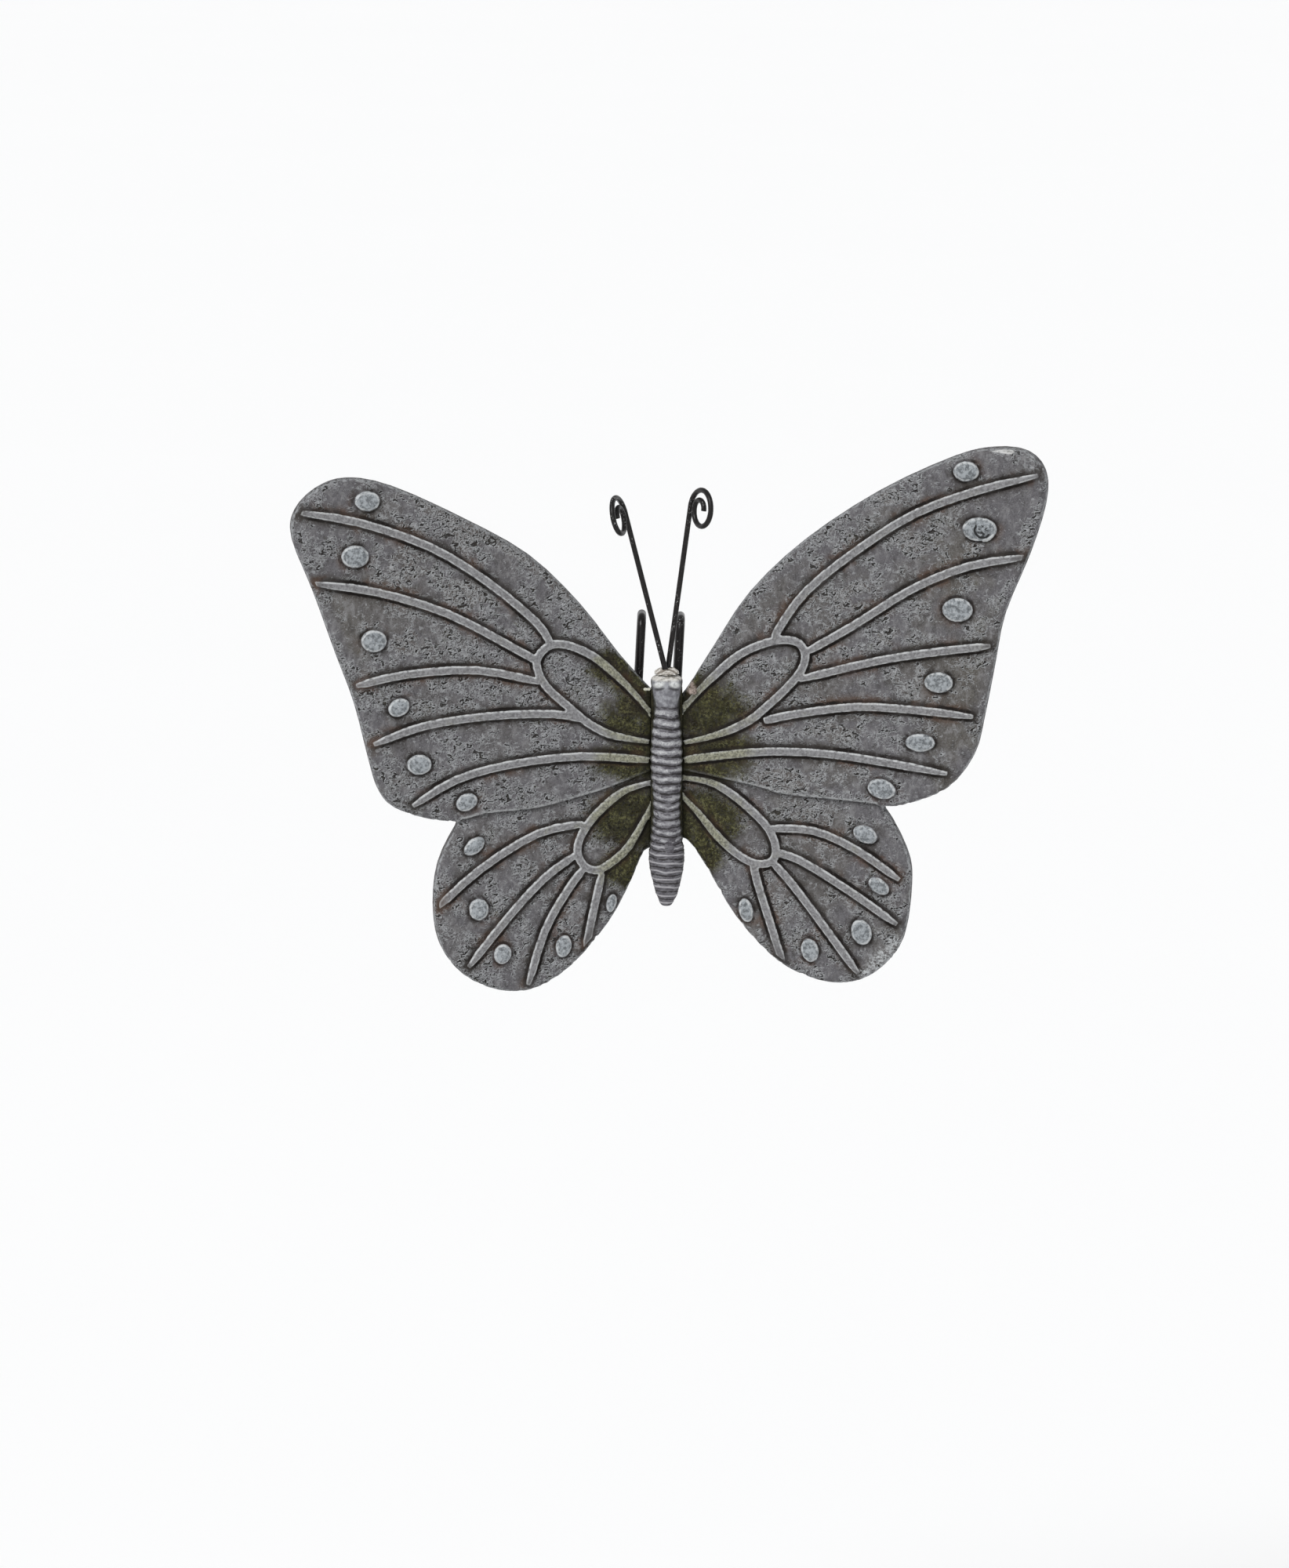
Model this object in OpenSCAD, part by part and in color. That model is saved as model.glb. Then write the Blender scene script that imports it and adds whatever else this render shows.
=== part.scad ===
// Butterfly pot hanger: a cast butterfly that hangs on a pot's rim by a wire hook.
// The origin is where the hook bears on the rim: z = 0 is the rim's top and y = 0 the pot's outer face.
// The front faces -Y, +X is to the viewer's right, and heights inside the casting count from its datum.

/* [Casting] */
// Depth of the casting's datum, where fore and hind wings divide, under the rim
datum_drop = 50; // [45:1:80]
// Distance from the hook's centre to the body's centre line
body_shift = 1.8; // [-3:0.1:3]
// Clearance between pieces that are glued together
bond_gap = 0.05; // [0.02:0.01:0.1]

/* [Wings] */
// Length that the wings' outlines are shares of, across
wing_reach = 126.5; // [100:0.5:150]
// Length that the wings' outlines are shares of, upwards
wing_rise = 127; // [100:1:150]
// Thickness of the hindwing plate
wing_t = 7.2; // [6.5:0.1:9]
// Step from the hindwing up to the forewing
lip_h = 0.9; // [0.5:0.1:1.5]
// Angle that each wing is swept forward
sweep = 8; // [4:1:12]
// Rise of a wing towards its tip, as a share of its reach
tip_lift_share = 0.027; // [0:0.001:0.05]
// How much the outlines draw in towards the tip, and towards the top, as shares
tip_draw_share = 0.0096; // [0:0.0004:0.02]
top_draw_share = 0.0135; // [0:0.0005:0.02]
// Width of the step that rounds a wing's rim
rim_step = 0.9; // [0.5:0.1:1.5]
// Distance from the body's centre line to a wing's root face
root_x = 5; // [4.8:0.1:5.4]

/* [Veins and spots] */
// Width of a vein at its foot
vein_w = 3.3; // [2.4:0.1:4]
// Inset of a vein's flat top from its foot
vein_inset = 0.7; // [0.4:0.1:0.9]
// Height of a vein's foot over the wing
vein_foot_h = 0.6; // [0.3:0.1:1]
// Height of a vein's top over its foot
vein_top_h = 0.6; // [0.3:0.1:1]
// Distance that a vein stops short of the wing's rim
vein_stop = 1.3; // [1.2:0.1:2]
// Height of a spot's foot over the wing
spot_foot_h = 0.8; // [0.4:0.1:1.2]
// Height of a spot's crown over its foot
spot_top_h = 0.5; // [0.2:0.1:0.8]
// Inset of a spot's crown from its foot
spot_inset = 0.9; // [0.5:0.1:1.4]

/* [Body] */
// Greatest width of the body
body_w = 11.7; // [11:0.1:12.5]
// Height of the ringed body, from the neck to the tail
body_h = 65; // [60:1:70]
// Height of the neck over the datum
neck_z = 25.4; // [24:0.1:28]
// Number of rings
ring_count = 23; // [18:1:26]
// Depth of the groove between two rings
groove_d = 0.6; // [0.3:0.1:0.9]
// Width of the head at the eyes
head_w = 10.2; // [9:0.1:11]
// Height of the head over the neck
head_h = 10.2; // [9.5:0.1:12]
// Diameter of an eye
eye_d = 2.9; // [2.2:0.1:3.4]
// Width of the keel between the wing roots
keel_w = 8.4; // [7.6:0.1:8.8]
// Height of the keel's top over the datum
keel_top_z = 30.5; // [28:0.1:31]
// Depth of the joints' foot under the datum
joint_foot_z = 21; // [19:0.1:23]

/* [Tie pins] */
// Diameter of a tie pin
pin_d = 3; // [2:0.1:3.2]
// Length of a tie pin
pin_l = 30; // [24:1:36]
// Height of the upper pin over the datum
upper_pin_z = 20; // [16:1:22]
// Depth of the lower pin under the datum
lower_pin_z = 12; // [8:1:14]

/* [Antennae] */
// Diameter of the antenna wire
antenna_d = 1.7; // [1.2:0.1:1.8]
// Length of the left stem
left_stem_l = 52.4; // [40:0.1:65]
// Length of the right stem
right_stem_l = 53.2; // [40:0.1:65]
// Lean of the left stem
left_lean = 14.2; // [8:0.2:18]
// Lean of the right stem
right_lean = 7.8; // [5:0.1:14]
// Turn of the left curl away from the front
left_turn = 73; // [0:1:80]
// Turn of the right curl away from the front
right_turn = 60; // [0:1:80]
// Radii of the curl's three half turns, from the stem inwards
curl_outer_r = 6.2; // [5.2:0.1:7]
curl_middle_r = 5; // [4:0.1:5.1]
curl_inner_r = 2.9; // [2.4:0.1:3.2]
// Length of a stem's tang inside the head
tang_l = 7; // [5:0.5:8]
// Distance between the two tangs, side to side
tang_pitch = 0.6; // [0:0.1:1]

/* [Rim hook] */
// Diameter of the hook wire
hook_d = 2.8; // [2:0.1:3.2]
// Distance between the hook's two legs
leg_pitch = 12.4; // [11:0.1:14]
// Free gap from the pad's face to the drop legs, for the pot's wall
wall_gap = 10; // [9:0.1:16]
// Centre-line radius of the bends over the rim
bend_r = 4; // [3.5:0.1:4.5]
// Length of the straight drop legs inside the pot
drop_l = 30; // [20:1:40]
// Lean of the whole hook
hook_lean = 3; // [0:0.5:5]
// Length of the legs inside the pad
leg_set = 30; // [20:1:32]

/* [Back pad] */
// Width of the pad
pad_w = 28; // [26:1:32]
// Height of the pad
pad_h = 36; // [34:1:38]
// Thickness of the pad behind the body
pad_t = 4; // [3.8:0.1:6]
// Height of the pad's top over the datum
pad_top_z = 24; // [18:1:26]

/* [Hidden] */
$fn = 64;

// Overrun of every cut
overrun = 1;
// Samples between two points of a smooth curve
steps = 3;
// Sides of a spot
spot_sides = 18;
// Veins and spots of each list that lie on the forewing, before those on the hindwing
fore_veins = 5;
fore_spots = 6;
// A band's first and last end: how narrow each gets, and over how much of its length
vein_end_shares = [[.6, .12], [.75, .08]];
cell_end_shares = [[.6, .16], [.6, .16]];

// Depths of the layers, from the pot's face forwards
wing_front = pad_t + wing_t + lip_h;
body_axis_y = wing_front + lip_h / 2;
pin_y = pad_t + wing_t / 2 + lip_h / 2;
// The bead between the head and the left wing: radius, straight length and height on the wing
bead_r = 0.5;
bead_l = 1.4;
bead_height_share = .244;
// The lump on the right wing's root: radius, straight length, and place across and up
lump_r = 1.1;
lump_l = 0.9;
lump_place_share = [.0775, .239];
// Places of the eyes: sideways and forwards as shares of the head's width, up as a share of its height
eye_side_share = .27;
eye_front_share = .34;
eye_height_share = .80;
// The knee of an antenna, where it leaves its bore, and its centre over the head
knee_d = antenna_d + 4 * bond_gap;
knee_z = knee_d / 2 + bond_gap;
// Distance between the two tangs, front to back: the left one is in front
tang_stagger = knee_d + 4 * bond_gap;
// Putty round the roots of the antennae
putty_r = 4.1;
putty_h = 2.1;
putty_crown_share = 0.6;
// Depth and height of the mortar that fills the joints
mortar_inset = 0.4;

// Outlines of the wings, from the upper root round the tip to the lower root: shares of reach and rise
left_fore_shares = [
    [.010, .205], [.044, .237], [.126, .328], [.226, .456], [.356, .580], [.520, .672], [.704, .755],
    [.820, .777], [.900, .751], [.956, .692], [.962, .620], [.908, .486], [.850, .326], [.802, .198],
    [.764, .050], [.742, -.020], [.704, -.064], [.616, -.094], [.530, -.100], [.466, -.084],
    [.338, -.070], [.218, -.038], [.150, -.016], [.010, .040]];
left_hind_shares = [
    [.010, -.165], [.060, -.174], [.098, -.258], [.154, -.360], [.246, -.468], [.338, -.528],
    [.432, -.534], [.524, -.494], [.584, -.416], [.600, -.316], [.588, -.210], [.543, -.116],
    [.500, -.060], [.300, 0], [.010, .060]];
right_fore_shares = [
    [.010, .195], [.050, .232], [.122, .344], [.216, .486], [.358, .620], [.546, .744], [.736, .832],
    [.840, .856], [.926, .846], [.972, .794], [.972, .710], [.931, .580], [.868, .428], [.842, .298],
    [.816, .166], [.790, .068], [.722, -.016], [.620, -.056], [.566, -.062], [.470, -.052],
    [.300, -.034], [.234, -.014], [.010, .035]];
right_hind_shares = [
    [.010, -.140], [.056, -.146], [.107, -.217], [.182, -.344], [.287, -.457], [.394, -.508],
    [.484, -.512], [.556, -.474], [.610, -.400], [.630, -.262], [.618, -.176], [.556, -.062],
    [.480, -.010], [.220, .020], [.010, .060]];

// Veins, each from its outer end inwards: shares of reach and rise
left_vein_shares = [
    [[.960, .694], [.796, .668], [.612, .605], [.466, .516], [.342, .413], [.304, .356]],
    [[.914, .511], [.750, .490], [.566, .434], [.392, .343], [.340, .314]],
    [[.803, .248], [.676, .278], [.494, .290], [.332, .260]],
    [[.758, .098], [.630, .146], [.466, .172], [.300, .178], [.218, .164]],
    [[.658, -.060], [.548, .008], [.410, .048], [.226, .070], [.053, .060]],
    [[.596, -.324], [.484, -.222], [.338, -.130], [.218, -.104]],
    [[.514, -.474], [.410, -.342], [.320, -.244], [.240, -.184]],
    [[.361, -.520], [.318, -.378], [.260, -.274], [.220, -.220]],
    [[.214, -.430], [.196, -.336], [.172, -.228]]];
right_vein_shares = [
    [[.957, .788], [.802, .750], [.642, .691], [.496, .599], [.366, .494], [.299, .404], [.282, .370]],
    [[.932, .580], [.782, .557], [.634, .498], [.484, .404], [.360, .334]],
    [[.836, .352], [.698, .337], [.546, .314], [.344, .266]],
    [[.792, .170], [.640, .188], [.490, .196], [.338, .178], [.254, .160]],
    [[.726, .024], [.566, .054], [.414, .076], [.264, .082], [.112, .068], [.053, .060]],
    [[.603, -.250], [.490, -.170], [.380, -.122], [.268, -.116]],
    [[.597, -.364], [.470, -.274], [.348, -.198], [.280, -.176]],
    [[.498, -.491], [.414, -.374], [.332, -.264], [.276, -.200]],
    [[.308, -.475], [.270, -.352], [.240, -.256], [.228, -.204]]];

// Looped veins round the cells, from the body out and back: shares of reach and rise
left_cell_shares = [
    [[.034, .162], [.098, .238], [.154, .292], [.200, .328], [.254, .352], [.300, .356], [.332, .332],
     [.340, .300], [.316, .248], [.254, .192], [.208, .154], [.154, .126], [.098, .114], [.053, .107]],
    [[.034, .005], [.108, -.016], [.154, -.048], [.200, -.094], [.230, -.144], [.234, -.184],
     [.212, -.216], [.176, -.220], [.116, -.176], [.080, -.122], [.034, -.034]]];
right_cell_shares = [
    [[.034, .168], [.084, .230], [.132, .278], [.188, .326], [.244, .354], [.302, .368], [.344, .360],
     [.362, .328], [.350, .288], [.310, .240], [.264, .198], [.224, .164], [.168, .136], [.112, .118],
     [.053, .105]],
    [[.034, .016], [.112, .004], [.168, -.024], [.226, -.072], [.268, -.118], [.286, -.166],
     [.276, -.200], [.234, -.206], [.186, -.180], [.136, -.134], [.090, -.078], [.034, -.018]]];

// Spots: place across and up, width and height as shares of the reach, then the turn in degrees
left_spot_shares = [
    [.772, .722, .068, .054, 0], [.803, .580, .074, .060, 0], [.755, .364, .068, .060, 0],
    [.691, .194, .060, .048, -25], [.639, .048, .066, .056, 0], [.518, -.048, .060, .048, -25],
    [.498, -.162, .064, .042, -38], [.486, -.324, .054, .060, 0], [.425, -.438, .048, .056, 12],
    [.270, -.418, .044, .062, 12], [.148, -.308, .030, .052, 14]];
right_spot_shares = [
    [.771, .798, .068, .054, 0], [.805, .650, .090, .064, 0], [.749, .444, .080, .064, 0],
    [.701, .258, .076, .056, 0], [.654, .104, .078, .050, 0], [.556, -.014, .076, .054, -14],
    [.514, -.132, .068, .048, -24], [.548, -.264, .062, .042, -34], [.504, -.382, .056, .070, 18],
    [.373, -.428, .048, .066, 12], [.210, -.326, .040, .066, 12]];

// Widths along the ringed body, from the neck to the tail, as shares of its greatest width
ring_shares = [.69, .785, .855, .875, .895, .91, .905, .885, .845, .80, .785, .785, .82, .85, .90, .965, 1,
               1, .945, .85, .74, .61, .42];
// The head's profile: half widths as shares of its half width, heights as shares of its height
head_shares = [[.70, 0], [.74, .11], [.87, .34], [.95, .58], [1, .76], [.98, .88], [.92, .95], [.84, 1]];
// A ring's section: places down the ring, and how much of the groove is cut there
ring_section_shares = [[.04, 1], [.22, .25], [.5, 0], [.78, .25], [.96, 1]];
// Place of a ring's middle down the ring
ring_middle_share = .5;

// A point between b and c of a smooth curve that passes through a, b, c and d
function blend(a, b, c, d, t) =
    (2 * b + (c - a) * t + (2 * a - 5 * b + 4 * c - d) * t * t + (3 * b - a - 3 * c + d) * t * t * t) / 2;

// A smooth curve through every point of a list
function through(p) = concat(
    [for (i = [0 : len(p) - 2]) for (s = [0 : steps - 1])
        blend(p[max(i - 1, 0)], p[i], p[i + 1], p[min(i + 2, len(p) - 1)], s / steps)],
    [p[len(p) - 1]]);

// The items of a list from one place up to another
function part_of(items, from, to) = [for (i = [from : to - 1]) items[i]];

// A place on the wing from its shares
function on_wing(s) =
    let (near = 1 - tip_draw_share * s[0] - top_draw_share * s[1])
    [s[0] * wing_reach * near, s[1] * wing_rise * near + s[0] * wing_reach * tip_lift_share];

// The direction across a curve at one of its points
function across(p, i) =
    let (d = p[min(i + 1, len(p) - 1)] - p[max(i - 1, 0)])
    [-d[1], d[0]] / norm(d);

// How wide a band is at one of its points, as a share of its full width
function band_share(i, n, ends) =
    min(1, ends[0][0] + (1 - ends[0][0]) * i / (n * ends[0][1]),
        ends[1][0] + (1 - ends[1][0]) * (n - i) / (n * ends[1][1]));

// A band of even width along a curve, narrowed towards both ends
function band(p, w, ends) = concat(
    [for (i = [0 : len(p) - 1]) p[i] + across(p, i) * w / 2 * band_share(i, len(p) - 1, ends)],
    [for (i = [len(p) - 1 : -1 : 0]) p[i] - across(p, i) * w / 2 * band_share(i, len(p) - 1, ends)]);

// Width of the body so many rings below the middle of the first
function ring_width(rings) =
    let (t = min(max(rings / (ring_count - 1), 0), 1),
         k = t * (len(ring_shares) - 1), i = min(floor(k), len(ring_shares) - 2))
    body_w * (ring_shares[i] + (ring_shares[i + 1] - ring_shares[i]) * (k - i));

ring_pitch = body_h / ring_count;
ring_profile = [for (r = [0 : ring_count - 1]) for (q = ring_section_shares)
    [ring_width(r + q[0] - ring_middle_share) / 2 - groove_d * q[1], neck_z - (r + q[0]) * ring_pitch]];
head_profile = [for (i = [len(head_shares) - 1 : -1 : 0])
    [head_shares[i][0] * head_w / 2, neck_z + head_shares[i][1] * head_h]];
head_top = neck_z + head_h;
keel_foot = joint_foot_z + ring_pitch;

// Moves a piece of the casting from its own datum to its place under the rim
module in_casting() {
    translate([body_shift, 0, -datum_drop]) children();
}

// Stands a flat outline up, its front face towards -Y
module upright(from, to) {
    rotate([90, 0, 0]) translate([0, 0, from]) linear_extrude(to - from) children();
}

// Turns a wing forward about its root
module swept() {
    translate([root_x, -pad_t, 0]) rotate([0, 0, -sweep]) translate([-root_x, 0, 0]) children();
}

module outline_2d(shares) {
    polygon(through([for (s = shares) on_wing(s)]));
}

// The feet of veins, cut short inside the wing's outline
module veins_2d(edge, veins, cells) {
    intersection() {
        offset(delta = -vein_stop) outline_2d(edge);
        union() {
            for (v = veins) polygon(band(through([for (s = v) on_wing(s)]), vein_w, vein_end_shares));
            for (c = cells) polygon(band(through([for (s = c) on_wing(s)]), vein_w, cell_end_shares));
        }
    }
}

module spots_2d(spots, inset) {
    for (s = spots)
        translate(on_wing(s)) rotate(s[4])
            polygon([for (k = [0 : spot_sides - 1])
                [(s[2] * wing_reach / 2 - inset) * cos(360 * k / spot_sides),
                 (s[3] * wing_reach / 2 - inset) * sin(360 * k / spot_sides)]]);
}

module wing_plate(fore, hind) {
    middle = wing_t / 2;
    upright(0, middle) offset(delta = -rim_step) {
        outline_2d(fore);
        outline_2d(hind);
    }
    upright(rim_step, wing_t - rim_step) offset(r = rim_step) offset(delta = -rim_step) {
        outline_2d(fore);
        outline_2d(hind);
    }
    upright(middle, wing_t) offset(delta = -rim_step) outline_2d(hind);
    upright(middle, wing_t + lip_h) offset(delta = -rim_step) outline_2d(fore);
}

// Veins and spots on a face of the wing
module wing_relief(edge, face, veins, cells, spots) {
    upright(wing_t / 2, face + vein_foot_h) offset(delta = 0) veins_2d(edge, veins, cells);
    upright(wing_t / 2, face + vein_foot_h + vein_top_h)
        offset(delta = -vein_inset) veins_2d(edge, veins, cells);
    upright(wing_t / 2, face + spot_foot_h) offset(delta = 0) spots_2d(spots, 0);
    upright(wing_t / 2, face + spot_foot_h + spot_top_h) offset(delta = 0) spots_2d(spots, spot_inset);
}

// Both bores for the tie pins, along X
module pin_bores() {
    for (z = [upper_pin_z, -lower_pin_z])
        translate([0, -pin_y, z]) rotate([0, 90, 0])
            cylinder(h = pin_l + 2 * overrun, d = pin_d + 2 * bond_gap, center = true);
}

// A wing to the right of the body; the left one is this shape turned about
module wing(fore, hind, veins, cells, spots) {
    difference() {
        swept() {
            wing_plate(fore, hind);
            wing_relief(fore, wing_t + lip_h, part_of(veins, 0, fore_veins), [cells[0]],
                        part_of(spots, 0, fore_spots));
            wing_relief(hind, wing_t, part_of(veins, fore_veins, len(veins)), [cells[1]],
                        part_of(spots, fore_spots, len(spots)));
        }
        translate([-root_x, -2 * wing_front, -wing_rise])
            cube([2 * root_x, 4 * wing_front, 2 * wing_rise]);
        pin_bores();
    }
}

module left_wing() {
    color("dimgray") in_casting() mirror([1, 0, 0])
        wing(left_fore_shares, left_hind_shares, left_vein_shares, left_cell_shares, left_spot_shares);
}

module right_wing() {
    color("dimgray") in_casting()
        wing(right_fore_shares, right_hind_shares, right_vein_shares, right_cell_shares, right_spot_shares);
}

// Half of a turned shape, on the front or the back of the body's axis
module half_turned(profile, start) {
    rotate_extrude(angle = 180, start = start)
        polygon(concat([[0, profile[0][1]]], profile, [[0, profile[len(profile) - 1][1]]]));
}

module body() {
    tail_rings = [for (q = ring_profile) if (q[1] < ring_pitch - keel_foot) q];
    color("gray") in_casting() difference() {
        union() {
            translate([0, -body_axis_y, 0]) {
                half_turned(concat(head_profile, ring_profile), 180);
                half_turned(tail_rings, 0);
                half_turned(head_profile, 0);
                for (side = [-1, 1])
                    translate([side * head_w * eye_side_share, -head_w * eye_front_share,
                               neck_z + head_h * eye_height_share])
                        sphere(d = eye_d);
            }
            translate([-keel_w / 2, -body_axis_y, -keel_foot])
                cube([keel_w, body_axis_y - pad_t, keel_top_z + keel_foot]);
        }
        pin_bores();
        tang_bores();
    }
}

// Bores in the head for the tangs of the antennae
module tang_bores() {
    foot_z = head_top - tang_l - bond_gap;
    for (side = [-1, 1])
        translate([side * tang_pitch / 2, side * tang_stagger / 2 - body_axis_y, foot_z])
            cylinder(h = tang_l + overrun, d = antenna_d + 2 * bond_gap);
}

// The bed of mortar between the keel and a wing's root face
module joint_mortar(side) {
    bed_z = keel_top_z + joint_foot_z - 2 * mortar_inset;
    color("rosybrown") in_casting() difference() {
        translate([side > 0 ? keel_w / 2 : -root_x, -wing_front + mortar_inset, mortar_inset - joint_foot_z])
            cube([root_x - keel_w / 2, wing_t + lip_h - 2 * mortar_inset, bed_z]);
        pin_bores();
    }
}

module tie_pin(z) {
    color("silver") in_casting() translate([0, -pin_y, z]) rotate([0, 90, 0])
        cylinder(h = pin_l, d = pin_d, center = true);
}

// A round bar bent to part of a ring, from the X axis round towards Y
module bent(r, d, angle) {
    rotate_extrude(angle = angle) translate([r, 0]) circle(d = d);
}

// The curl at a stem's end, in the XZ plane: three half turns of falling radius
module curl() {
    middle_x = 2 * curl_outer_r - curl_middle_r;
    inner_x = 2 * curl_outer_r - 2 * curl_middle_r + curl_inner_r;
    translate([curl_outer_r, 0, 0]) rotate([90, 0, 0]) bent(curl_outer_r, antenna_d, 180);
    translate([middle_x, 0, 0]) rotate([90, 0, 0]) rotate(180) bent(curl_middle_r, antenna_d, 180);
    translate([inner_x, 0, 0]) rotate([90, 0, 0]) bent(curl_inner_r, antenna_d, 180);
}

// An antenna to the right, with its tang in the head, in front of the body's axis or behind it
module antenna(stem_l, lean, turn, depth) {
    translate([tang_pitch / 2, depth * tang_stagger / 2 - body_axis_y, head_top + knee_z]) {
        translate([0, 0, -knee_z - tang_l]) cylinder(h = knee_z + tang_l, d = antenna_d);
        sphere(d = knee_d);
        rotate([0, lean, 0]) rotate([0, 0, -turn]) {
            cylinder(h = stem_l, d = antenna_d);
            translate([0, 0, stem_l]) curl();
        }
    }
}

module left_antenna() {
    color("black") in_casting() mirror([1, 0, 0]) antenna(left_stem_l, left_lean, left_turn, -1);
}

module right_antenna() {
    color("black") in_casting() antenna(right_stem_l, right_lean, right_turn, 1);
}

// Putty pressed round the roots of the antennae, with a hole where each wire leaves
module antenna_putty() {
    color("gainsboro") in_casting() translate([0, -body_axis_y, head_top]) difference() {
        rotate_extrude() polygon([[0, 0], [putty_r, 0], [putty_r, putty_h * (1 - putty_crown_share)],
                                  [putty_r * putty_crown_share, putty_h], [0, putty_h]]);
        for (side = [-1, 1]) translate([side * tang_pitch / 2, side * tang_stagger / 2, knee_z]) {
            translate([0, 0, -knee_z - overrun]) cylinder(h = knee_z + overrun, d = antenna_d + 2 * bond_gap);
            sphere(d = knee_d + 2 * bond_gap);
            rotate([0, side > 0 ? right_lean : -left_lean, 0])
                cylinder(h = putty_h + overrun, d = antenna_d + 2 * bond_gap);
        }
    }
}

// A bead that lies across a wing at the height of its veins
module bead(x, z, r, l) {
    over = vein_foot_h + vein_top_h + bond_gap;
    swept() translate([x, -wing_t - lip_h - over - r, z]) rotate([0, 90, 0]) {
        cylinder(h = l, r = r, center = true);
        for (end = [-1, 1]) translate([0, 0, end * l / 2]) sphere(r = r);
    }
}

// The left bead starts at the head's side, as far in as the wing's sweep brings it
module left_glue_bead() {
    inner_x = head_w / 2 + bond_gap + (wing_t + lip_h + vein_foot_h + vein_top_h) * sin(sweep);
    color("cornsilk") in_casting() mirror([1, 0, 0])
        bead(inner_x + bead_r + bead_l / 2, bead_height_share * wing_rise, bead_r, bead_l);
}

module right_filler_lump() {
    p = on_wing(lump_place_share);
    color("tan") in_casting() bead(p[0], p[1], lump_r, lump_l);
}

// Depth of the legs, their drop behind the rim, and where their straight lengths start
leg_y = -pad_t / 2;
drop_y = wall_gap + hook_d / 2;
bend_z = hook_d / 2 - bend_r;
leg_l = datum_drop - pad_top_z + leg_set + bend_z;

// One side of the hook, from the pad over the rim to the drop leg
module hook_side() {
    translate([0, leg_y, bend_z - leg_l]) cylinder(h = leg_l, d = hook_d);
    translate([0, leg_y + bend_r, bend_z]) rotate([90, 0, -90]) bent(bend_r, hook_d, 90);
    translate([0, leg_y + bend_r, hook_d / 2]) rotate([-90, 0, 0])
        cylinder(h = drop_y - leg_y - 2 * bend_r, d = hook_d);
    translate([0, drop_y - bend_r, bend_z]) rotate([90, 0, 90]) bent(bend_r, hook_d, 90);
    translate([0, drop_y, bend_z - drop_l]) cylinder(h = drop_l, d = hook_d);
}

module rim_hook() {
    color("black") rotate([0, hook_lean, 0]) {
        for (side = [-1, 1]) translate([side * leg_pitch / 2, 0, 0]) hook_side();
        translate([0, drop_y, bend_z - drop_l]) rotate([-90, 0, 0]) bent(leg_pitch / 2, hook_d, 180);
    }
}

// The pad on the casting's back that holds the hook's legs and rests on the pot
module back_pad() {
    wedge = (pad_w / 2 - root_x) * tan(sweep);
    color("dimgray") difference() {
        in_casting() translate([0, 0, pad_top_z - pad_h]) linear_extrude(pad_h)
            polygon([[-pad_w / 2, 0], [pad_w / 2, 0], [pad_w / 2, -pad_t - wedge], [root_x, -pad_t],
                     [-root_x, -pad_t], [-pad_w / 2, -pad_t - wedge]]);
        rotate([0, hook_lean, 0]) for (side = [-1, 1])
            translate([side * leg_pitch / 2, leg_y, bend_z - leg_l - bond_gap])
                cylinder(h = leg_l, d = hook_d + 2 * bond_gap);
    }
}

left_wing();
right_wing();
body();
joint_mortar(-1);  // left_joint_mortar
joint_mortar(1);  // right_joint_mortar
tie_pin(upper_pin_z);  // upper_tie_pin
tie_pin(-lower_pin_z);  // lower_tie_pin
left_antenna();
right_antenna();
antenna_putty();
left_glue_bead();
right_filler_lump();
rim_hook();
back_pad();
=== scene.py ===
import math

import bpy
import bmesh
import numpy as np
from mathutils import Matrix, Vector, noise
from mathutils.bvhtree import BVHTree
from mathutils.kdtree import KDTree


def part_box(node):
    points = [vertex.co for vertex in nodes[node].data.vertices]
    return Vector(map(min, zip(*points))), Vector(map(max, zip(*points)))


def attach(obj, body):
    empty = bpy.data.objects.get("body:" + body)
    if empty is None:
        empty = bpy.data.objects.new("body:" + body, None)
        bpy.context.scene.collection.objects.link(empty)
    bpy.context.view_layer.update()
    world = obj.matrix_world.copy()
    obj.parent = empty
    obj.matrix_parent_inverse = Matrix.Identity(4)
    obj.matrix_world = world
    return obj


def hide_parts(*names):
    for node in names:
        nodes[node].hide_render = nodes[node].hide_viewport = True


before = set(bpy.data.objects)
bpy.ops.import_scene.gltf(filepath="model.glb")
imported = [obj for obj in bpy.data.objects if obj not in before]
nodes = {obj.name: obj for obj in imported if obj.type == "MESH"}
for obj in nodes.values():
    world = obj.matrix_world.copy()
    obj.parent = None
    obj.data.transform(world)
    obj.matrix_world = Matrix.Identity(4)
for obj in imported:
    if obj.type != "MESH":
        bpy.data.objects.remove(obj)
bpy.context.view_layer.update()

mm = 0.001
print("frame loaded:", len(nodes), "nodes")

# where the casting sits, in mm, as in the CAD model
casting = {
    "shift": 1.8,         # body's centre line to the right of the hook's centre
    "datum": 50.0,        # datum under the rim
    "bodyAxis": 12.55,    # body's axis in front of the pot's face
    "rootX": 5.0,         # wing roots, either side of the centre line
    "backY": 4.0,         # backs of the wings in front of the pot's face, at the root
    "sweep": math.radians(8),
    "headTop": 35.6,      # over the datum
}


# small helpers for meshes

def deselectAll():
    if bpy.context.object and bpy.context.object.mode != "OBJECT":
        bpy.ops.object.mode_set(mode="OBJECT")
    bpy.ops.object.select_all(action="DESELECT")


def pick(piece):
    deselectAll()
    piece.select_set(True)
    bpy.context.view_layer.objects.active = piece
    return piece


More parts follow.
